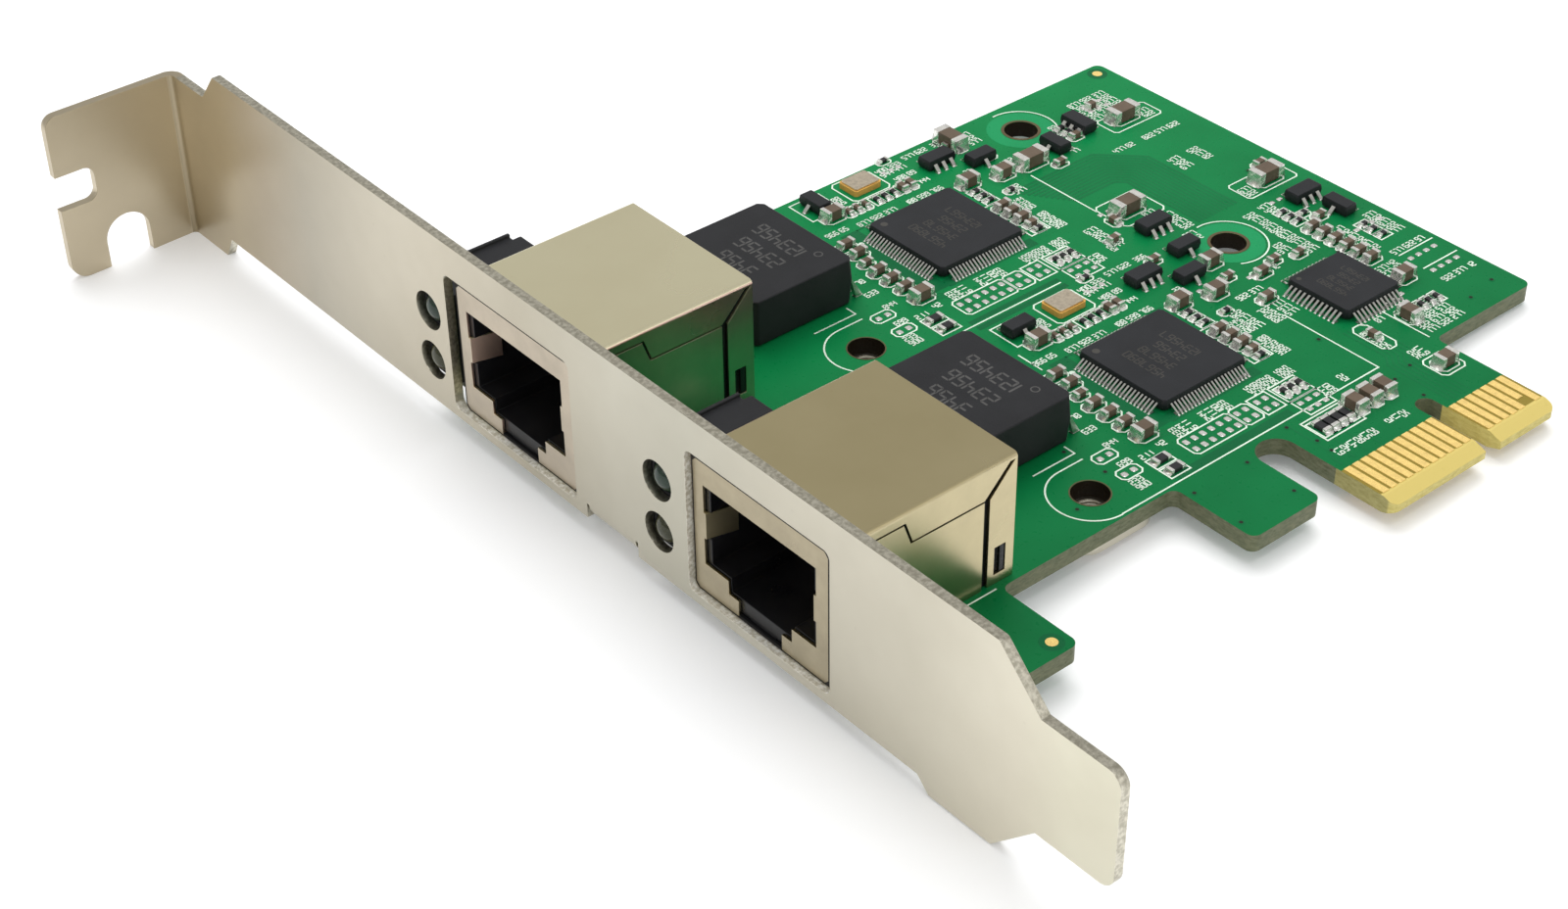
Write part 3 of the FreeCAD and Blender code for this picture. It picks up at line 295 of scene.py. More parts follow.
def tinned(name, color, rough, metallic=1.0):
    """Tin, gold or solder: bright with dull patches."""
    f = Finish(name, color, rough, metallic)
    patches = f.noise(0.4, 3.0, 0.6)
    f.color(f.mix(f.ramp(patches, 0.4, 0.75), color, tuple(c * 0.74 for c in color)))
    return f.rough(patches, rough - 0.1, rough + 0.12).bump(f.noise(0.15, 2.0), 0.006)


def within(f, tests):
    """One where every (socket, low, high) test holds, else nought."""
    result = None
    for socket, low, high in tests:
        for edge, start, end in ((low, 0.0, 1.0), (high, 1.0, 0.0)):
            if edge is None:
                continue
            step = f.ramp(socket, edge - 0.03 * MM, edge + 0.03 * MM, start, end)
            result = step if result is None else f.combine("MULTIPLY", result, step)
    return result


def board_finish():
    """Green mask on the faces, glass-fibre edges, bare laminate at the contacts, painted shade and light
    along the board's length and painted shade inside the screw holes.
    """
    f = mask("board", (0.0035, 0.190, 0.054), (0.0028, 0.168, 0.047))
    x, y = f.axis("X"), f.axis("Y")
    # painted shade and light: the green darker towards the near end, lighter towards the far end
    green = f.toned(f.base(), f.ramp(y, 0.0, 62.0 * MM),
                    ((0.1, (0.7, 0.80, 0.80)), (0.5, (0.85, 0.90, 0.90)), (0.95, (1.1, 1.06, 1.06))))
    fibres = f.noise(0.25, 4.0, 0.7, (3, 3, 1))
    weave = f.ramp(fibres, 0.35, 0.65)
    laminate = f.mix(weave, (0.105, 0.125, 0.07), (0.20, 0.21, 0.13))
    bare = f.mix(weave, (0.55, 0.46, 0.14), (0.72, 0.63, 0.24))
    connector = within(f, [(x, SECTION_LEFT * MM, None), (y, None, 6.0 * MM)])
    contact_zone = within(f, [(x, SECTION_LEFT * MM, None), (y, None, CONTACT_END * MM)])
    green = f.mix(contact_zone, green, (0.25, 0.19, 0.035))
    strip = within(f, [(x, SECTION_LEFT * MM, None), (y, None, CONTACT_START * MM)])
    green = f.mix(strip, green, (0.62, 0.50, 0.16))
    laminate = f.mix(connector, laminate, bare)
    # painted shade: the laminate inside the screw holes turns nearly black
    for hole_x, hole_y in HOLES:
        reach = (HOLE_R + 0.2) * MM
        spot = within(f, [(x, hole_x * MM - reach, hole_x * MM + reach),
                          (y, hole_y * MM - reach, hole_y * MM + reach)])
        laminate = f.mix(spot, laminate, (0.020, 0.015, 0.009))
    upright = f.combine("ABSOLUTE", f.axis("Z", "Normal"))
    return f.color(f.mix(f.ramp(upright, 0.5, 0.6), laminate, green))


def lens_finish(name, color):
    """Clear tinted plastic of a lamp."""
    f = moulded(name, color, 0.14, 0.3, 0.002, 0.2)
    f.set("Transmission Weight", 0.45)
    f.set("IOR", 1.49)
    f.set("Coat Weight", 0.25)
    f.set("Coat Roughness", 0.04)
    return f


# colour, roughness, grain size, grain depth and, where it isn't 0.3, gloss
MOULDED = {
    "case": ((0.013, 0.0135, 0.0155), 0.5, 0.10, 0.012, 0.24),
    "chip": ((0.012, 0.013, 0.0155), 0.42, 0.07, 0.006, 0.26),
    "marking": ((0.043, 0.041, 0.037), 0.5, 0.08, 0.003),
    "marking_bold": ((0.062, 0.061, 0.060), 0.5, 0.08, 0.003),
    "socket_black": ((0.006, 0.006, 0.007), 0.32, 0.2, 0.004),
    "ceramic": ((0.55, 0.31, 0.07), 0.4, 0.1, 0.004),
    "capacitor": ((0.098, 0.070, 0.048), 0.38, 0.08, 0.006),
    "resistor": ((0.014, 0.014, 0.016), 0.3, 0.08, 0.004),
    "print": ((0.60, 0.70, 0.60), 0.55, 0.12, 0.004),
    "laminate": ((0.085, 0.062, 0.030), 0.6, 0.2, 0.01),
    # painted shade: near-black for the via holes and for the line round each socket's face
    "hollow": ((0.012, 0.010, 0.008), 0.7, 0.2, 0.01),
}
# colour, roughness and, where it isn't all metal, how metallic
TINNED = {
    # gold is only partly metal, so the lamps light its colour as brightly as a reflection would: painted
    # reflection
    "gold": ((1.0, 0.72, 0.24), 0.27, 0.4),
    "solder": ((0.93, 0.92, 0.88), 0.22, 0.85),
    "lead": ((0.62, 0.62, 0.58), 0.35),
    "lid": ((0.80, 0.70, 0.55), 0.36),
}
# lighter and darker green
MASKS = {
    "mask_dark": ((0.005, 0.120, 0.040), (0.004, 0.105, 0.035)),
    "mask_trace": ((0.006, 0.150, 0.048), (0.005, 0.130, 0.041)),
    "mask_light": ((0.012, 0.270, 0.095), (0.010, 0.245, 0.085)),
}
# light and dark tone, then painted shade of the face and of the near side
TINPLATES = {
    "tinplate": ((0.84, 0.79, 0.555), (0.78, 0.72, 0.49), (0.515, 0.448, 0.352), (0.78, 0.56, 0.46)),
    # the second shield: the same tin plate painted darker, as painted shade
    "tinplate_dull": ((0.55, 0.475, 0.28), (0.48, 0.41, 0.23), (0.42, 0.363, 0.25), (0.54, 0.47, 0.29)),
}
LENS_COLORS = {
    "lens_green": ((0.007, 0.036, 0.015),),
    "lens_yellow": ((0.040, 0.043, 0.006),),
}


def body_finishes():
    """One finish for each kind of surface on the card."""
    kit = {"nickel": bracket_finish(), "board": board_finish()}
    for make, table in ((moulded, MOULDED), (tinned, TINNED), (mask, MASKS), (shield_finish, TINPLATES),
                        (lens_finish, LENS_COLORS)):
        for name, values in table.items():
            kit[name] = make(name, *values)
    return kit


KIT = body_finishes()


# ---------------- mesh helpers
def wall_faces(rings, count):
    """Faces of a wall through rings of count points each."""
    return [(base + k, base + (k + 1) % count, base + (k + 1) % count + count, base + k + count)
            for base in range(0, (rings - 1) * count, count) for k in range(count)]


class Sheet:
    """Collects faces in millimetres, then becomes one piece."""

    def __init__(self):
        self.points = []
        self.faces = []

    def add(self, points, faces):
        start = len(self.points)
        self.points += [Vector(p) for p in points]
        self.faces += [[start + i for i in face] for face in faces]

    def quad(self, x0, y0, x1, y1, z):
        self.add([(x0, y0, z), (x1, y0, z), (x1, y1, z), (x0, y1, z)], [(0, 1, 2, 3)])

    def strip(self, pairs, z, closed):
        """Flat band between pairs of (x, y) points."""
        faces = []
        for i in range(len(pairs) if closed else len(pairs) - 1):
            a, b = 2 * i, 2 * ((i + 1) % len(pairs))
            faces.append((a, a + 1, b + 1, b))
        self.add([(x, y, z) for pair in pairs for x, y in pair], faces)

    def stroke(self, path, width, z, closed=False):
        """Flat line of one width through (x, y) points, mitred at its corners."""
        count = len(path)
        if count < 2:
            return
        rim = []
        for i in range(count):
            here = Vector(path[i])
            back = Vector(path[i - 1]) if i > 0 or closed else None
            ahead = Vector(path[(i + 1) % count]) if i + 1 < count or closed else None
            if back is None:
                back = here * 2 - ahead
            if ahead is None:
                ahead = here * 2 - back
            first = (here - back).normalized()
            second = (ahead - here).normalized()
            across = Vector((-first.y - second.y, first.x + second.x))
            if across.length < 1e-6:
                across = Vector((-first.y, first.x))
            across.normalize()
            lean = max(abs(across.dot(Vector((-first.y, first.x)))), 0.4)
            reach = across * (width / 2 / lean)
            rim.append((here + reach, here - reach))
        self.strip(rim, z, closed)

    def ring(self, x, y, inner, outer, z, start=0.0, end=360.0, count=32):
        """Flat ring or part of one."""
        full = abs(end - start) >= 360.0
        turns = [math.radians(start + (end - start) * k / count) for k in range(count + (not full))]
        pairs = [[(x + r * math.cos(a), y + r * math.sin(a)) for r in (inner, outer)] for a in turns]
        self.strip(pairs, z, full)

    def disc(self, x, y, r, z, count=16):
        turns = [2 * math.pi * k / count for k in range(count)]
        self.add([(x + r * math.cos(a), y + r * math.sin(a), z) for a in turns], [tuple(range(count))])

    def dome(self, x, y, rx, ry, z, height, count=12):
        """Low bump of solder on an oblong pad."""
        points = []
        for share, lift in ((1.0, 0.0), (0.86, 0.55), (0.5, 0.9)):
            for k in range(count):
                a = 2 * math.pi * (k + 0.5) / count
                c, s = math.cos(a), math.sin(a)
                squash = 1.0 / max(abs(c), abs(s)) ** 0.6
                points.append((x + rx * share * c * squash, y + ry * share * s * squash, z + height * lift))
        points.append((x, y, z + height))
        top = 2 * count
        fan = [(top + k, top + (k + 1) % count, top + count) for k in range(count)]
        self.add(points, wall_faces(3, count) + fan)

    def box(self, low, high):
        """Box between two corners."""
        (x0, y0, z0), (x1, y1, z1) = low, high
        corners = [(x, y, z) for z in (z0, z1) for x, y in ((x0, y0), (x1, y0), (x1, y1), (x0, y1))]
        self.add(corners, [(3, 2, 1, 0), (4, 5, 6, 7)] + wall_faces(2, 4))

    def frame(self, x0, y0, x1, y1, cut=0.0):
        """Printed outline of a rectangle, its corners cut off where cut is given."""
        path = [(x0, y0), (x1, y0), (x1, y1), (x0, y1)]
        if cut > 0:
            path = [(x0 + cut, y0), (x1 - cut, y0), (x1, y0 + cut), (x1, y1 - cut),
                    (x1 - cut, y1), (x0 + cut, y1), (x0, y1 - cut), (x0, y0 + cut)]
        self.stroke(path, LINE, PRINT_Z, closed=True)

    def wedge(self, low, high, axis, sign, reach, lift):
        """Solder fillet from the outer end of a part's metal end down to its pad."""
        start = high[axis] if sign > 0 else low[axis]
        near, far = low[1 - axis], high[1 - axis]
        profile = [(start, PRINT_Z + lift), (start + sign * reach * 0.35, PRINT_Z + lift * 0.38),
                   (start + sign * reach, PRINT_Z), (start, PRINT_Z)]
        points = []
        for across in (near, far):
            for along, z in profile:
                points.append((along, across, z) if axis == 0 else (across, along, z))
        self.add(points, [(0, 1, 5, 4), (1, 2, 6, 5), (0, 3, 2, 1), (4, 5, 6, 7)])

    def put(self, name, finish, smooth=False):
        """Makes the piece, in metres, riding on the card."""
        data = bpy.data.meshes.new(name)
        data.from_pydata([p * MM for p in self.points], [], self.faces)
        made = bmesh.new()
        made.from_mesh(data)
        bmesh.ops.recalc_face_normals(made, faces=made.faces)
        flat = [f for f in made.faces if abs(f.normal.z) > 0.999]
        wrong = [f for f in flat if f.normal.z < 0 and f.calc_center_median().z > UNDERSIDE * MM * 0.5]
        bmesh.ops.reverse_faces(made, faces=wrong)
        made.to_mesh(data)
        made.free()
        for polygon in data.polygons:
            polygon.use_smooth = smooth
        piece = placed(name, data)
        coat(data, finish)
        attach(piece, "root")
        return piece


def placed(name, data):
    """A new object in the scene."""
    made = bpy.data.objects.new(name, data)
    bpy.context.scene.collection.objects.link(made)
    return made


def coat(data, finish):
    """Gives a mesh one finish in place of any other."""
    data.materials.clear()
    data.materials.append(KIT[finish].material)


def islands(node):
    """Boxes, in millimetres, of the separate solids in a node."""
    data = nodes[node].data
    keys = [tuple(round(c / MM * 200) for c in vertex.co) for vertex in data.vertices]
    spots = {}
    for key in keys:
        spots.setdefault(key, len(spots))
    parent = list(range(len(spots)))

    def find(i):
        while parent[i] != i:
            parent[i] = parent[parent[i]]
            i = parent[i]
        return i

    index = [spots[key] for key in keys]
    for polygon in data.polygons:
        first = find(index[polygon.vertices[0]])
        for v in polygon.vertices[1:]:
            parent[find(index[v])] = first
    boxes = {}
    for vertex, i in zip(data.vertices, index):
        point = vertex.co / MM
        low, high = boxes.setdefault(find(i), (point.copy(), point.copy()))
        for k in range(3):
            low[k] = min(low[k], point[k])
            high[k] = max(high[k], point[k])
    return sorted(boxes.values(), key=lambda b: (round(b[0].y, 3), round(b[0].x, 3)))


def rounded(node, finish, width):
    """A copy of a CAD node with its sharp edges rounded, shown in its place."""
    copy = nodes[node].copy()
    copy.data = nodes[node].data.copy()
    copy.name = "soft_" + node
    copy.parent = None
    bpy.context.scene.collection.objects.link(copy)
    made = bmesh.new()
    made.from_mesh(copy.data)
    bmesh.ops.remove_doubles(made, verts=made.verts, dist=2e-6)
    bmesh.ops.dissolve_limit(made, angle_limit=math.radians(1.0), verts=made.verts, edges=made.edges)
    made.to_mesh(copy.data)
    made.free()
    coat(copy.data, finish)
    bpy.context.view_layer.objects.active = copy
    bevel = copy.modifiers.new("edge", "BEVEL")
    bevel.width = width * MM
    bevel.segments = 2
    bevel.limit_method = "ANGLE"
    bevel.angle_limit = math.radians(40.0)
    even = copy.modifiers.new("even", "WEIGHTED_NORMAL")
    even.weight = 100
    for polygon in copy.data.polygons:
        polygon.use_smooth = True
    with bpy.context.temp_override(object=copy, active_object=copy, selected_objects=[copy]):
        bpy.ops.object.modifier_apply(modifier="edge")
        bpy.ops.object.modifier_apply(modifier="even")
    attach(copy, "root")
    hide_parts(node)


# ---------------- carried-over pieces
# nodes shown with rounded edges: finish, radius and the nodes
SOFTENED = (
    ("nickel", 0.14, ("bracket",)),
    ("tinplate", 0.07, ("jack_shield_1",)),
    # the second shield wears a darker copy of the tin plate: painted shade
    ("tinplate_dull", 0.07, ("jack_shield_2",)),
    ("socket_black", 0.08, ("jack_housing_1", "jack_housing_2")),
    ("case", 0.1, ("lamp_block_1", "lamp_block_2")),
    ("case", 0.12, ("transformer_1", "transformer_2")),
    ("chip", 0.05, ("controller_1", "controller_2", "bridge_chip")),
    ("lid", 0.05, ("crystal_lid_1", "crystal_lid_2")),
    ("chip", 0.05, ("transistors", "regulators")),
    ("capacitor", 0.05, ("capacitor_bodies",)),
    ("solder", 0.05, ("capacitor_ends",)),
    ("solder", 0.04, ("resistor_ends",)),
)
# nodes shown as they are, by finish
PAINTED = {
    "board": ("circuit_board",),
    "gold": ("edge_contacts_front", "edge_contacts_back", "jack_contacts_1", "jack_contacts_2"),
    "solder": ("solder_joints_1", "solder_joints_2"),
    "lead": ("transformer_leads_1", "transformer_leads_2", "controller_leads_1", "controller_leads_2",
             "bridge_chip_leads", "transistor_leads", "regulator_leads"),
    "ceramic": ("crystal_1", "crystal_2"),
    "resistor": ("resistor_bodies",),
}
LENSES = {
    "lamp_upper_1": "lens_green", "lamp_upper_2": "lens_green",
    "lamp_lower_1": "lens_yellow", "lamp_lower_2": "lens_yellow",
}


def lens(node, finish):
    """Domed lamp with a rim, in the place of the plain round one."""
    low, high = box_of(node)
    middle = (low + high) / 2
    radius = (high.z - low.z) / 2
    foot, rim, rise, count = 1.1, 1.15, 8, 36
    profile = [(high.x, 0.0), (high.x, 1.0), (low.x + rim, 1.0), (low.x + foot, 0.93)]
    for k in range(rise + 1):
        a = math.pi / 2 * k / rise
        profile.append((low.x + foot * (1 - math.sin(a)), 0.9 * math.cos(a)))
    points = []
    for along, share in profile:
        for k in range(count):
            a = 2 * math.pi * k / count
            points.append((along, middle.y + radius * share * math.cos(a),
                           middle.z + radius * share * math.sin(a)))
    sheet = Sheet()
    sheet.add(points, wall_faces(len(profile), count))
    piece = sheet.put("lens_" + node, finish, True)
    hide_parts(node)


def dress_nodes():
    """Every CAD node gets a finish, the large ones rounded edges, the lamps domes."""
    for finish, width, softened in SOFTENED:
        for node in softened:
            rounded(node, finish, width)
    for finish, painted in PAINTED.items():
        for node in painted:
            coat(nodes[node].data, finish)
    for node, finish in LENSES.items():
        lens(node, finish)


# ---------------- board print
PATCH_Z = 0.006            # heights over the board, each layer above the last
TRACE_Z = 0.012
PAD_Z = 0.02
PRINT_Z = 0.03
MARK_LIFT = 0.004          # print over a package's top
LINE = 0.15
DIGIT_WIDE = 0.52          # width and step of a digit that is one high
DIGIT_STEP = 0.78
FILLET = 0.24              # reach of a solder fillet
FILLET_SHARE = 0.62        # its height as a share of the end's
HEEL = 0.45                # share of a lead behind its pad
TOE = 0.16                 # pad beyond the lead's end
STROKES = ("abcdef", "bc", "abged", "abgcd", "fgbc", "afgcd", "afgedc", "abc", "abcdefg", "abcfgd")
SEGMENTS = {"a": ((0, 2), (1, 2)), "b": ((1, 2), (1, 1)), "c": ((1, 1), (1, 0)), "d": ((0, 0), (1, 0)),
            "e": ((0, 1), (0, 0)), "f": ((0, 2), (0, 1)), "g": ((0, 1), (1, 1))}


def digits(sheet, x, y, number, height=0.9, turned=False, z=PRINT_Z, weight=0.2):
    """Writes a plain number from strokes, its lower left corner at (x, y)."""
    wide = height * DIGIT_WIDE
    step = height * DIGIT_STEP
    for place, character in enumerate(str(number)):
        for key in STROKES[int(character)]:
            ends = []
            for u, v in SEGMENTS[key]:
                along = place * step + u * wide
                up = v * height / 2
                ends.append((x - up, y + along) if turned else (x + along, y + up))
            sheet.stroke(ends, height * weight, z)


def text_block(sheet, x0, y0, x1, y1, height=0.62, turned=False, first=10):
    """Fills a rectangle with small plain numbers in rows."""
    digit = height * DIGIT_STEP
    gap = height * 0.32
    along, across = (y1 - y0, x1 - x0) if turned else (x1 - x0, y1 - y0)
    rows = max(1, int((across + gap) / (height + gap)))
    number = first
    for row in range(rows):
        used = 0.0
        while used + 2 * digit <= along + 0.01:
            number = (number * 7 + 13) % 90 + 10
            shown = number if used + 3 * digit > along else number * 10 + number % 10
            rise = row * (height + gap)
            spot = (x0 + height + rise, y0 + used) if turned else (x0 + used, y0 + rise)
            digits(sheet, *spot, shown, height, turned)
            used += digit * (len(str(shown)) + 0.45)


def pill(sheet, low, high, margin):
    """Rounded outline about a part."""
    cut = min(high.x - low.x, high.y - low.y) * 0.35 + margin * 0.4
    sheet.frame(low.x - margin, low.y - margin, high.x + margin, high.y + margin, cut)


def joined(bodies, ends):
    """Boxes of whole two-ended parts: each body with the ends that touch it."""
    parts = []
    for low, high in bodies:
        centre = (low + high) / 2
        near = sorted(ends, key=lambda e: ((e[0] + e[1]) / 2 - centre).length)[:2]
        lows = [low] + [e[0] for e in near]
        highs = [high] + [e[1] for e in near]
        whole = (Vector([min(p[k] for p in lows) for k in range(3)]),
                 Vector([max(p[k] for p in highs) for k in range(3)]))
        parts.append((whole, near, centre))
    return parts


def two_ended_details(ink, metal):
    """Outlines and solder fillets of the capacitors and resistors."""
    for kind, margin, cut in (("capacitor", 0.32, True), ("resistor", 0.28, False)):
        for whole, near, centre in joined(islands(kind + "_bodies"), islands(kind + "_ends")):
            low, high = whole
            if cut:
                pill(ink, low, high, margin)
            else:
                ink.frame(low.x - margin, low.y - margin, high.x + margin, high.y + margin)
            for end_low, end_high in near:
                away = (end_low + end_high) / 2 - centre
                axis = 0 if abs(away.x) > abs(away.y) else 1
                sign = 1 if away[axis] > 0 else -1
                tall = (end_high.z - end_low.z) * FILLET_SHARE
                metal.wedge(end_low, end_high, axis, sign, FILLET, tall)


def lead_details(metal):
    """Pads with a little solder under each lead's foot."""
    groups = (("controller_leads_1", "controller_1"), ("controller_leads_2", "controller_2"),
              ("bridge_chip_leads", "bridge_chip"), ("transformer_leads_1", "transformer_1"),
              ("transformer_leads_2", "transformer_2"), ("transistor_leads", "transistors"),
              ("regulator_leads", "regulators"))
    for leads, body in groups:
        bodies = islands(body)
        for low, high in islands(leads):
            centre = (low + high) / 2
            home = min(bodies, key=lambda b: ((b[0] + b[1]) / 2 - centre).length)
            away = centre - (home[0] + home[1]) / 2
            axis = 0 if (high.x - low.x) > (high.y - low.y) else 1
            sign = 1 if away[axis] > 0 else -1
            start, end = [low.x, low.y], [high.x, high.y]
            heel, toe = (start, end) if sign > 0 else (end, start)
            heel[axis] += (toe[axis] - heel[axis]) * HEEL
            toe[axis] += sign * TOE
            start[1 - axis] -= 0.02
            end[1 - axis] += 0.02
            metal.quad(*start, *end, PAD_Z)
            tip = [(start[0] + end[0]) / 2, (start[1] + end[1]) / 2]
            tip[axis] = toe[axis] - sign * 0.14
            size = [0.12, 0.12]
            size[1 - axis] = (end[1 - axis] - start[1 - axis]) * 0.42
            metal.dome(*tip, *size, PAD_Z, 0.1, 8)


def pad_field(ink, metal, x, y, columns, rows, pitch_x, pitch_y, size, boxed=True, cut=0.35):
    """Unused tinned pads in rows, with a printed frame round them."""
    for row in range(rows):
        for column in range(columns):
            px, py = x + column * pitch_x, y + row * pitch_y
            metal.dome(px, py, size[0] / 2, size[1] / 2, PAD_Z, 0.09)
    if boxed:
        ink.frame(x - pitch_x * 0.6, y - pitch_y * 0.62, x + (columns - 0.4) * pitch_x,
                  y + (rows - 0.38) * pitch_y, cut)


# blocks of small numbers on either half: x0, y0, x1, y1 and, for turned ones, True
HALF_BLOCKS = (
    (-18.5, 16.95, -15.6, 18.5, True), (-15.1, 16.95, -11.4, 18.5, True), (-9.6, 16.95, -6.3, 18.5, True),
    (-5.9, 16.95, -3.8, 18.5, True), (-16.7, 31.25, -11.4, 32.6), (-11.0, 31.25, -5.6, 32.6),
    (-3.6, 19.4, -1.7, 23.0), (-3.6, 23.4, -1.7, 26.3), (-5.2, 12.95, -3.1, 14.6, True),
    (-2.5, 13.1, -1.3, 14.8, True), (-9.3, 33.2, -6.0, 34.4), (-9.4, 36.3, -5.8, 38.2),
    (-16.2, 35.2, -13.8, 36.6), (-20.2, 31.6, -17.3, 32.4), (-3.2, 30.9, -1.9, 33.0),
    (-8.9, 35.0, -6.0, 36.0), (-24.9, 17.15, -23.3, 17.9), (-25.9, 14.1, -24.3, 15.8),
    (-22.9, 16.7, -21.2, 17.4), (-20.6, 17.0, -19.2, 17.8), (-23.9, 22.1, -22.3, 22.9),
    (-23.9, 19.7, -22.3, 20.5), (-19.2, 22.3, -18.3, 23.1), (-2.2, 37.4, -0.4, 38.6),
    (-5.8, 37.4, -2.6, 38.4), (-23.2, 24.1, -22.0, 25.2),
)
# blocks that stand once: round the bridge chip, at the far end and above the contacts
SINGLE_BLOCKS = (
    (8.4, 13.3, 13.3, 17.9), (3.8, 14.2, 5.0, 17.9, True), (6.4, 17.2, 7.6, 18.3),
    (4.7, 11.5, 6.8, 13.2, True), (-10.6, 6.9, -5.7, 8.2, True), (-4.3, 6.9, -1.8, 8.2, True),
    (-2.4, 23.3, -0.4, 26.5), (-0.2, 22.9, 3.1, 25.2), (12.5, 21.5, 15.4, 23.3), (14.7, 18.8, 15.6, 21.2),
    (10.4, 28.4, 12.3, 36.9), (12.6, 35.2, 15.2, 37.4), (18.7, 25.6, 20.4, 29.8), (15.1, 25.0, 16.3, 30.2),
    (15.8, 23.3, 20.3, 24.2), (15.8, 17.6, 20.3, 18.9), (4.2, 28.6, 7.0, 29.8), (4.0, 36.4, 6.2, 38.0),
    (-2.2, 40.2, -0.4, 44.8), (4.9, 38.4, 6.4, 41.6), (3.9, 42.2, 6.3, 43.2), (13.4, 38.4, 15.0, 40.6),
    (12.6, 45.6, 14.3, 47.9), (15.2, 45.6, 17.8, 47.9), (10.0, 51.8, 13.1, 52.7), (13.9, 51.8, 19.3, 52.7),
    (12.8, 57.4, 17.6, 61.6), (17.0, 54.8, 18.6, 56.8), (-2.2, 52.6, -0.2, 54.6), (0.6, 57.2, 3.6, 58.4),
    (7.0, 54.4, 8.0, 55.6), (8.4, 57.2, 9.8, 60.0), (0.8, 61.8, 3.2, 64.2), (0.0, 27.2, 3.4, 28.2),
    (8.4, 29.9, 10.2, 31.6),
)


# gold targets at two corners, and the vias
TARGETS = ((-44.0, 5.6), (19.6, 63.9))
VIAS = ((-23.0, 11.1), (-16.9, 11.1), (-23.0, 6.2), (-16.9, 6.2), (-11.0, 12.2), (-10.5, 9.4), (-10.6, 7.8),
        (0.9, 10.9), (0.9, 7.9), (3.4, 11.4), (-2.6, 27.2), (0.6, 18.9), (-26.9, 21.6), (-26.3, 17.6),
        (-31.4, 15.6), (12.4, 26.9), (16.9, 41.6), (19.0, 15.2), (15.4, 14.6), (-40.0, 33.0), (-38.2, 35.6))


def outlined_places():
    """Rectangles of printed frames: x0, y0, x1, y1, corner cut."""
    frames = []
    for lift in LIFTS:
        frames += [(-6.2, 20.0 + lift, -3.9, 26.3 + lift, 0.0), (-19.4, 34.7 + lift, -15.9, 38.1 + lift, 0.0),
                   (-14.3, 34.7 + lift, -9.8, 38.4 + lift, 0.4)]
    frames += [(-9.85, 8.85, -5.2, 11.75, 0.0), (4.3, 8.35, 7.2, 11.1, 0.4), (3.55, 14.0, 5.3, 18.1, 0.5),
               (13.2, 38.0, 19.8, 40.9, 0.3), (12.6, 54.4, 18.9, 57.2, 0.3), (1.2, 42.0, 6.4, 46.2, 0.4)]
    return frames


def pad_rows(ink, metal, lift):
    """Unused tinned pads in printed frames, below a controller."""
    for x, columns, pitch, cut in ((-18.6, 6, 0.98, 0.35), (-12.6, 2, 1.0, 0.35),
                                   (-10.2, 2, 0.98, 0), (-7.6, 3, 0.98, 0)):
        pad_field(ink, metal, x, 15.0 + lift, columns, 2, pitch, 1.12, (0.52, 0.66), cut=cut)
    pad_field(ink, metal, -7.6, 12.7 + lift, 3, 2, 0.98, 1.02, (0.6, 0.5), cut=0)
    pad_field(ink, metal, -8.9, 36.9 + lift, 3, 1, 0.9, 1.0, (0.5, 0.6), boxed=False)
    for y in (16.35, 19.05):
        pad_field(ink, metal, -25.4, y + lift, 2, 1, 1.05, 1.1, (0.6, 0.6))


def spare_pads(ink, metal):
    """Unused tinned pads elsewhere on the board."""
    places = ((16.4, 28.2, 4, 1), (16.4, 22.0, 4, 1), (16.4, 19.5, 4, 1), (13.4, 24.6, 1, 1),
              (1.0, 44.0, 2, 2), (-1.5, 30.6, 2, 1), (3.4, 29.2, 2, 1), (13.8, 59.0, 3, 2),
              (-1.2, 55.6, 2, 1), (9.2, 18.9, 3, 1), (14.2, 36.3, 2, 1), (0.4, 63.4, 2, 1))
    for x, y, columns, rows in places:
        pad_field(ink, metal, x, y, columns, rows, 1.05, 1.05, (0.6, 0.5), boxed=False)


def hole_marks(ink):
    """Printed arcs round the screw holes and the corner lines by the magnetics."""
    for x, y in NEAR_HOLES:
        ink.ring(x, y, 3.48, 3.48 + LINE, PRINT_Z, 90, 270, 28)
        ink.stroke([(x, y + 3.55), (x + 2.7, y + 3.55)], LINE, PRINT_Z)
        ink.stroke([(x - 1.9, y + 4.5), (x + 2.75, y + 4.5), (x + 2.75, y + 5.7)], LINE, PRINT_Z)
        ink.stroke([(x - 13.7, y - 3.75), (x - 17.0, y - 3.75)], LINE, PRINT_Z)
    for x, y in FAR_HOLES:
        ink.ring(x, y, 3.5, 3.5 + LINE, PRINT_Z, -120, 95, 36)


def long_lines(ink):
    """Printed lines that part the board into fields."""
    paths = (((-29.15, 12.9), (1.2, 12.9), (1.2, 23.3)), ((-29.15, 39.45), (-9.6, 39.45)),
             ((1.1, 45.6), (1.1, 54.2)), ((15.9, 22.95), (20.5, 22.95)), ((15.9, 20.2), (20.5, 20.2)),
             ((7.9, 13.0), (7.9, 18.2)), ((-20.2, 30.9), (-20.2, 33.8)))
    for path in paths:
        ink.stroke(path, LINE, PRINT_Z)


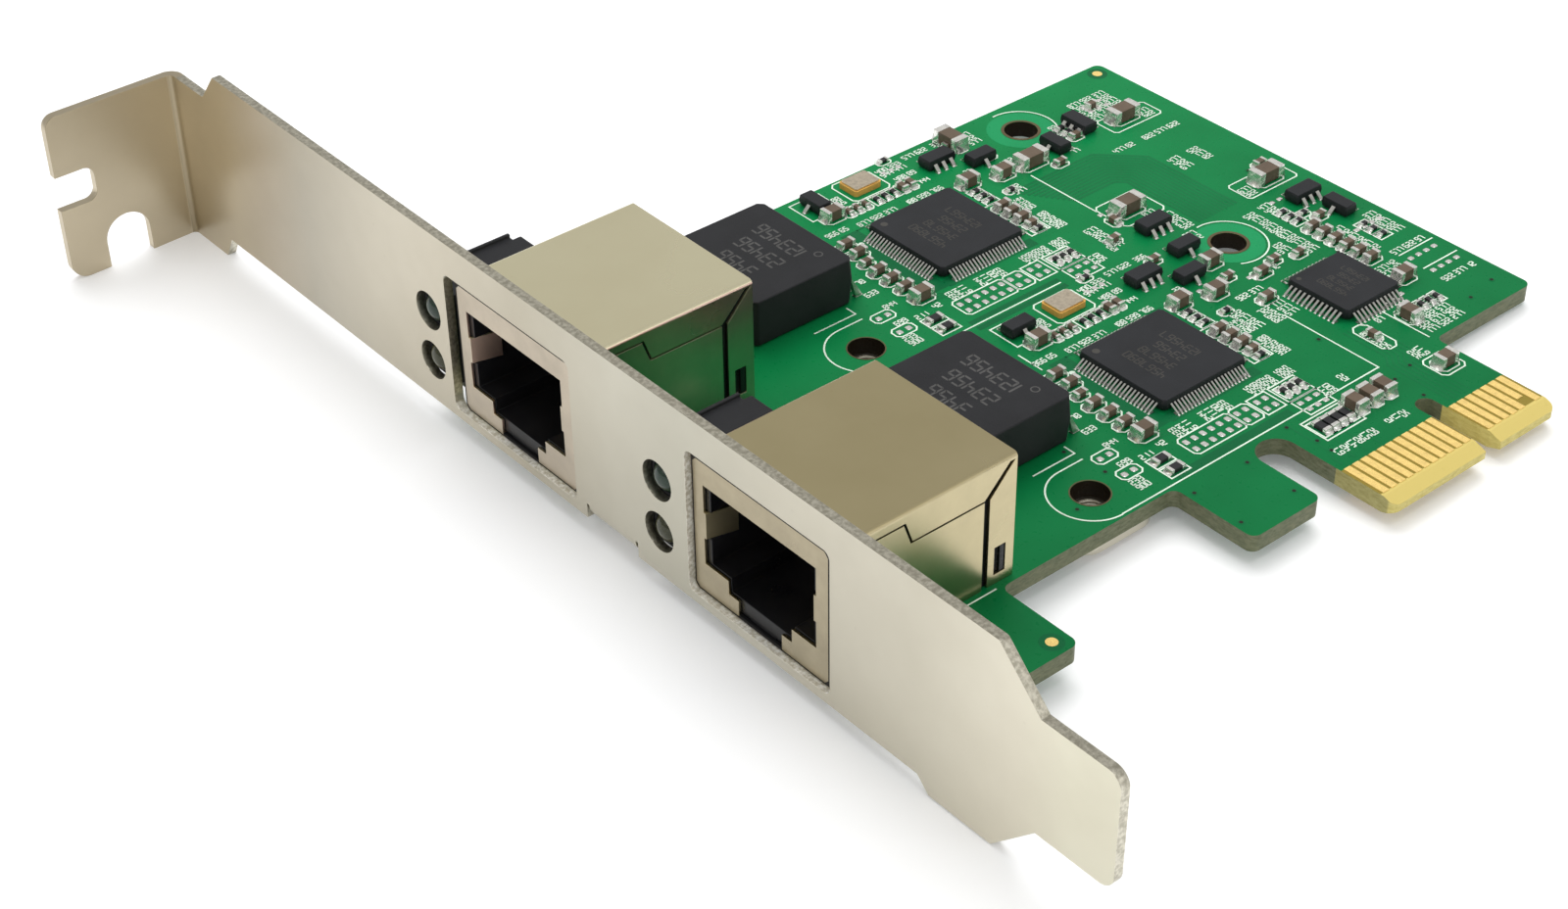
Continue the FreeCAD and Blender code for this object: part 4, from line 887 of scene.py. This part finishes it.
def board_print():
    """All the white print, the bare pads and the solder."""
    ink, metal, gold = Sheet(), Sheet(), Sheet()
    two_ended_details(ink, metal)
    lead_details(metal)
    for lift in LIFTS:
        pad_rows(ink, metal, lift)
        ink.disc(-18.6, 29.0 + lift, 0.28, PRINT_Z)
        for number, (x0, y0, x1, y1, *turned) in enumerate(HALF_BLOCKS):
            text_block(ink, x0, y0 + lift, x1, y1 + lift, 0.6, bool(turned), 10 + 3 * number)
    for number, (x0, y0, x1, y1, *turned) in enumerate(SINGLE_BLOCKS):
        text_block(ink, x0, y0, x1, y1, 0.62, bool(turned), 12 + 5 * number)
    for x0, y0, x1, y1, cut in outlined_places():
        ink.frame(x0, y0, x1, y1, cut)
    spare_pads(ink, metal)
    hole_marks(ink)
    long_lines(ink)
    for x, y in TARGETS:
        gold.disc(x, y, 0.5, PRINT_Z, 24)
    ink.put("board_print", "print")
    metal.put("board_solder", "solder", True)
    gold.put("board_targets", "gold")


def trace_bundle(trace, x, y, corner, end_y, count, pitch, width):
    """Parallel traces that run right from (x, y), turn down at the corner and end at end_y."""
    for k in range(count):
        row = y - pitch * k
        column = corner - pitch * k
        bend = 0.6 + 0.586 * pitch * (count - k)
        trace.stroke([(x + 0.3 * k, row), (column - bend, row), (column, row - bend), (column, end_y)],
                     width, TRACE_Z)


def board_copper():
    """Traces and clearings that show through the mask, vias with dark discs of painted shade, and hole rims.
    """
    dark, trace, light, hollow, rim = Sheet(), Sheet(), Sheet(), Sheet(), Sheet()
    for lift in LIFTS:
        for x0, y0, x1, y1 in ((-19.3, 18.9, -17.3, 31.1), (-17.3, 18.7, -6.6, 19.9),
                               (-39.9, 21.5, -36.9, 35.6), (-17.4, 30.9, -5.8, 31.1)):
            dark.quad(x0, y0 + lift, x1, y1 + lift, PATCH_Z)
        trace_bundle(trace, -21.0, 18.6 + lift, -17.6, 14.4 + lift, 3, 0.32, 0.14)
    dark.quad(-20.0, 38.6, -9.4, 39.2, PATCH_Z)
    dark.quad(-20.0, 39.7, -9.4, 40.2, PATCH_Z)
    dark.quad(-22.6, 13.1, -9.0, 13.9, PATCH_Z)
    trace_bundle(trace, -2.4, 53.2, 11.8, 38.4, 12, 0.44, 0.28)
    for k in range(6):
        column = 2.0 + k * 0.5
        trace.stroke([(column, 6.0), (column, 12.6 - 0.2 * k), (column + 0.9, 13.5 - 0.2 * k),
                      (column + 0.9, 18.2)], 0.17, TRACE_Z)
    for k in range(4):
        trace.stroke([(-11.4 + 1.5 * k, 6.0), (-11.4 + 1.5 * k, 7.0), (-10.8 + 1.5 * k, 7.6),
                      (-10.8 + 1.5 * k, 12.6)], 0.16, TRACE_Z)
    for x, y in FAR_HOLES:
        light.ring(x, y, HOLE_R + 0.32, 3.3, PATCH_Z)
        rim.ring(x, y, HOLE_R + 0.01, HOLE_R + 0.3, PRINT_Z)
    for x, y in NEAR_HOLES:
        rim.ring(x, y, HOLE_R + 0.01, HOLE_R + 0.12, PRINT_Z)
    for x, y in TARGETS:
        dark.ring(x, y, 0.5, 1.0, PATCH_Z, count=28)
    for x, y in VIAS:
        # painted shade: a dark disc in each via
        hollow.disc(x, y, 0.17, PRINT_Z)
        trace.ring(x, y, 0.17, 0.3, TRACE_Z + 0.006, count=14)
    dark.put("mask_clearings", "mask_dark")
    trace.put("mask_traces", "mask_trace")
    light.put("hole_lands", "mask_light")
    hollow.put("via_hole_shade", "hollow")
    rim.put("hole_rims", "laminate")


def number_lines(sheet, low, high, rows, places, height, z):
    """Centred rows of plain numbers, read from the socket side, on a package's top."""
    pitch = height * 1.75
    middle = (low + high) / 2
    for row in range(rows):
        length = places[row % len(places)]
        value = int("1234567890"[row:row + length])
        wide = length * height * DIGIT_STEP
        x = middle.x + ((rows - 1) / 2 - row) * pitch + height / 2
        digits(sheet, x, middle.y - wide / 2, value, height, True, z, 0.14)


def package_marks():
    """Pin-one dots and faint rows of plain numbers on the moulded packages."""
    faint, bold = Sheet(), Sheet()
    for node in ("controller_1", "controller_2", "bridge_chip"):
        low, high = box_of(node)
        size = high.x - low.x
        faint.disc(low.x + size * 0.11, high.y - size * 0.11, size * 0.035, high.z + MARK_LIFT, 20)
        number_lines(faint, low, high, 4, (7, 5, 6), size * 0.085, high.z + MARK_LIFT)
    for node in ("transformer_1", "transformer_2"):
        low, high = box_of(node)
        bold.ring(high.x - 2.0, low.y + 2.6, 0.3, 0.42, high.z + MARK_LIFT, count=20)
        number_lines(bold, low, high, 3, (6, 5, 4), 1.45, high.z + MARK_LIFT)
    faint.put("package_marks", "marking")
    bold.put("module_marks", "marking_bold")


# half length, half width and height of a small capacitor and of a small resistor
CAPACITOR_SIZE = (0.62, 0.34, 0.6)
RESISTOR_SIZE = (0.5, 0.26, 0.38)


def small_parts():
    """Further small capacitors and resistors, with their ends, fillets and outlines."""
    places = []            # x, y, whether it lies along Y, whether it is a capacitor
    for lift in LIFTS:
        places += [(-9.5, 33.7 + lift, True, True), (-8.5, 33.7 + lift, True, True),
                   (-4.9, 21.4 + lift, False, True), (-4.9, 20.5 + lift, False, False),
                   (-20.5, 26.2 + lift, False, True), (-1.1, 36.5 + lift, False, True),
                   (-7.6, 38.5 + lift, False, False), (-2.2, 26.9 + lift, False, False)]
    places += [(9.4, 28.9, False, True), (4.4, 16.2, True, True), (9.2, 58.5, False, False),
               (9.2, 57.5, False, False), (9.2, 56.5, False, True), (-1.3, 41.2, False, True),
               (1.8, 30.4, False, True), (6.9, 29.6, False, True), (18.4, 41.6, False, True),
               (15.6, 31.9, False, True), (14.9, 33.2, False, False), (0.4, 59.2, False, True),
               (4.6, 53.9, False, True), (1.0, 43.4, True, True), (14.4, 59.6, False, True)]
    ink, metal, pale, dark = Sheet(), Sheet(), Sheet(), Sheet()
    for x, y, turned, is_pale in places:
        half, wide, high = CAPACITOR_SIZE if is_pale else RESISTOR_SIZE
        core = half * 0.56
        reach = (wide, half) if turned else (half, wide)
        inner = (wide - 0.03, core) if turned else (core, wide - 0.03)
        body = pale if is_pale else dark
        body.box((x - inner[0], y - inner[1], 0.03), (x + inner[0], y + inner[1], high - 0.03))
        axis = 1 if turned else 0
        for sign in (-1, 1):
            low = [x - reach[0], y - reach[1], 0.0]
            far = [x + reach[0], y + reach[1], high]
            if sign > 0:
                low[axis] = (x, y)[axis] + core
            else:
                far[axis] = (x, y)[axis] - core
            metal.box(low, far)
            metal.wedge(low, far, axis, sign, 0.2, high * 0.6)
        pill(ink, Vector((x - reach[0], y - reach[1], 0)), Vector((x + reach[0], y + reach[1], 0)), 0.28)
    ink.put("small_part_outlines", "print")
    metal.put("small_part_ends", "solder")
    pale.put("small_capacitors", "capacitor")
    dark.put("small_resistors", "resistor")


def latch_floors():
    """Dark floor of the insert under each latch opening, with the tongue that leads in."""
    shift, half, tongue_half, thick, back = 0.3, 2.49, 1.5, 0.15, -57.2
    floors = Sheet()
    for node in SHIELDS:
        low, high = box_of(node)
        middle = (low.y + high.y) / 2 + shift
        front, base = low.x + 0.03, low.z + 0.02
        floors.box((front, middle - half, base), (back, middle + half, base + 0.2))
        top = [(front + 0.25, base + 0.4), (back, base + 0.85), (back + 1.2, base + 1.4)]
        ramp = top + [(x, z - thick) for x, z in reversed(top)]
        count = len(ramp)
        caps = [tuple(range(count)), tuple(range(2 * count - 1, count - 1, -1))]
        floors.add([(x, middle + side * tongue_half, z) for side in (-1, 1) for x, z in ramp],
                   wall_faces(2, count) + caps)
    floors.put("latch_floors", "socket_black")


def socket_rims():
    """Painted shade: a dark line where each socket's face meets the bracket's opening."""
    proud, wide, narrow, r = 0.015, 0.5, 0.12, 0.4
    rim_shade = Sheet()
    for node in SHIELDS:
        low, high = box_of(node)
        outer = [(low.y + r, low.z), (high.y - r, low.z), (high.y, low.z + r), (high.y, high.z - r),
                 (high.y - r, high.z), (low.y + r, high.z), (low.y, high.z - r), (low.y, low.z + r)]
        middle = (low + high) / 2
        inner = [(y + (wide if y < middle.y else -narrow), z + (narrow if z < middle.z else -wide))
                 for y, z in outer]
        rim_shade.add([(low.x - proud, y, z) for y, z in outer + inner], wall_faces(2, len(outer)))
    rim_shade.put("socket_rims", "hollow")


def flange_threads():
    """Screw threads in the flange's two holes, seen down through the board."""
    threads = Sheet()
    root, crest, pitch, turns, steps = 1.24, 1.04, 0.5, 1.7, 24
    total = int(turns * steps)
    for x, y in NEAR_HOLES:
        points = []
        for k in range(total + 1):
            a = 2 * math.pi * k / steps
            z = UNDERSIDE - 0.02 - pitch * k / steps
            for radius, drop in ((root, 0.0), (crest, 0.15), (root, 0.27)):
                points.append((x + radius * math.cos(a), y + radius * math.sin(a), z - drop))
        faces = []
        for k in range(total):
            near, far = 3 * k, 3 * (k + 1)
            faces += [(near, near + 1, far + 1, far), (near + 1, near + 2, far + 2, far + 1)]
        threads.add(points, faces)
    threads.put("flange_threads", "nickel", True)


# ---------------- stage
FLOOR_GLOW = 0.16          # strength of the floor's own white
FLOOR_HALF = 9.0           # metres
FLOOR_CLEAR = 0.00005      # metres below the resting points
SKY = 0.62


def lay_floor():
    """Pale floor, seen from above only, tilted to the card's three resting points."""
    f = Finish("floor", (0.86, 0.865, 0.875), 0.55)
    f.color(f.mix(f.ramp(f.noise(60.0, 3.0), 0.3, 0.7), (0.87, 0.875, 0.885), (0.84, 0.85, 0.87)))
    f.bump(f.noise(2.0, 3.0), 0.01)
    rays = f.node("ShaderNodeLightPath").outputs
    seen = f.combine("MAXIMUM", rays["Is Camera Ray"], rays["Is Glossy Ray"])
    seen = f.combine("MAXIMUM", seen, rays["Is Transmission Ray"])
    f.set("Emission Color", (1.0, 1.0, 1.0, 1.0))
    f.link(f.combine("MULTIPLY", seen, FLOOR_GLOW), f.shader.inputs["Emission Strength"])
    through = f.node("ShaderNodeBsdfTransparent")
    side = f.node("ShaderNodeNewGeometry")
    choose = f.node("ShaderNodeMixShader")
    for place, source in enumerate((side.outputs["Backfacing"], f.shader.outputs[0], through.outputs[0])):
        f.link(source, choose.inputs[place])
    f.link(choose.outputs[0], f.tree.nodes["Material Output"].inputs["Surface"])
    data = bpy.data.meshes.new("floor")
    corners = [(x * FLOOR_HALF, y * FLOOR_HALF, 0) for x, y in ((-1, -1), (1, -1), (1, 1), (-1, 1))]
    data.from_pydata(corners, [], [(0, 1, 2, 3)])
    data.materials.append(f.material)
    floor = placed("floor", data)
    low = box_of("bracket")[0]
    edge = Vector((low.x, 104.0, low.z)) * MM
    shoulder = Vector((-59.05, 1.0, low.z + 1.2)) * MM
    tail = Vector((21.1, 12.5, UNDERSIDE - 0.4)) * MM
    normal = (shoulder - edge).cross(tail - edge).normalized()
    if normal.z < 0:
        normal = -normal
    floor.rotation_euler = normal.to_track_quat("Z", "Y").to_euler()
    floor.location = edge - normal * FLOOR_CLEAR


def lamp(name, place, target, size, watts, color=(1, 1, 1), glossy=True):
    """Rectangular lamp aimed at a target, in metres."""
    light = bpy.data.lights.new(name, "AREA")
    light.shape = "RECTANGLE"
    light.size, light.size_y = size
    light.energy = watts
    light.color = color
    holder = placed(name, light)
    holder.location = place
    holder.rotation_euler = (Vector(target) - Vector(place)).to_track_quat("-Z", "Y").to_euler()
    holder.visible_glossy = glossy


def light_room():
    """Even pale surroundings and four broad lamps."""
    world = bpy.data.worlds.new("room")
    world.use_nodes = True
    tree = world.node_tree
    coords = tree.nodes.new("ShaderNodeTexCoord")
    parts = tree.nodes.new("ShaderNodeSeparateXYZ")
    ramp = tree.nodes.new("ShaderNodeValToRGB")
    color_bands(ramp, ((0.0, (0.93, 0.93, 0.95)), (0.45, (1.0, 0.985, 0.95)), (1.0, (0.88, 0.88, 0.88))))
    tree.links.new(coords.outputs["Generated"], parts.inputs[0])
    tree.links.new(parts.outputs["Z"], ramp.inputs["Fac"])
    back = tree.nodes["Background"]
    tree.links.new(ramp.outputs["Color"], back.inputs["Color"])
    back.inputs["Strength"].default_value = SKY
    bpy.context.scene.world = world
    middle = (-0.02, 0.04, 0.0)
    lamp("ceiling", (0.16, 0.34, 0.66), middle, (0.7, 0.6), 4.4, glossy=False)
    lamp("strip", (-0.10, -0.22, 0.75), middle, (0.5, 0.12), 0.8)
    lamp("window", (-0.75, 0.10, 0.45), middle, (0.5, 0.5), 0.9, (1.0, 0.99, 0.97))
    lamp("side", (0.2, -0.75, 0.40), middle, (0.5, 0.4), 0.7)


def place_camera():
    """Camera over the socket side, looking down along the card."""
    place = Vector((-154.26, -97.79, 129.04)) * MM
    forward = Vector((0.510, 0.619, -0.597)).normalized()
    right = Vector((0.766, -0.642, -0.012))
    right = (right - forward * right.dot(forward)).normalized()
    turn = Matrix((right, right.cross(forward), -forward)).transposed()
    camera = bpy.data.cameras.new("camera")
    camera.sensor_width = 36.0
    camera.lens = 62.02
    camera.clip_start = 0.01
    camera.clip_end = 20.0
    holder = placed("camera", camera)
    holder.matrix_world = Matrix.Translation(place) @ turn.to_4x4()
    bpy.context.scene.camera = holder
    bpy.context.scene.view_settings.view_transform = "Standard"


dress_nodes()
board_print()
board_copper()
package_marks()
small_parts()
latch_floors()
socket_rims()
flange_threads()
lay_floor()
light_room()
place_camera()
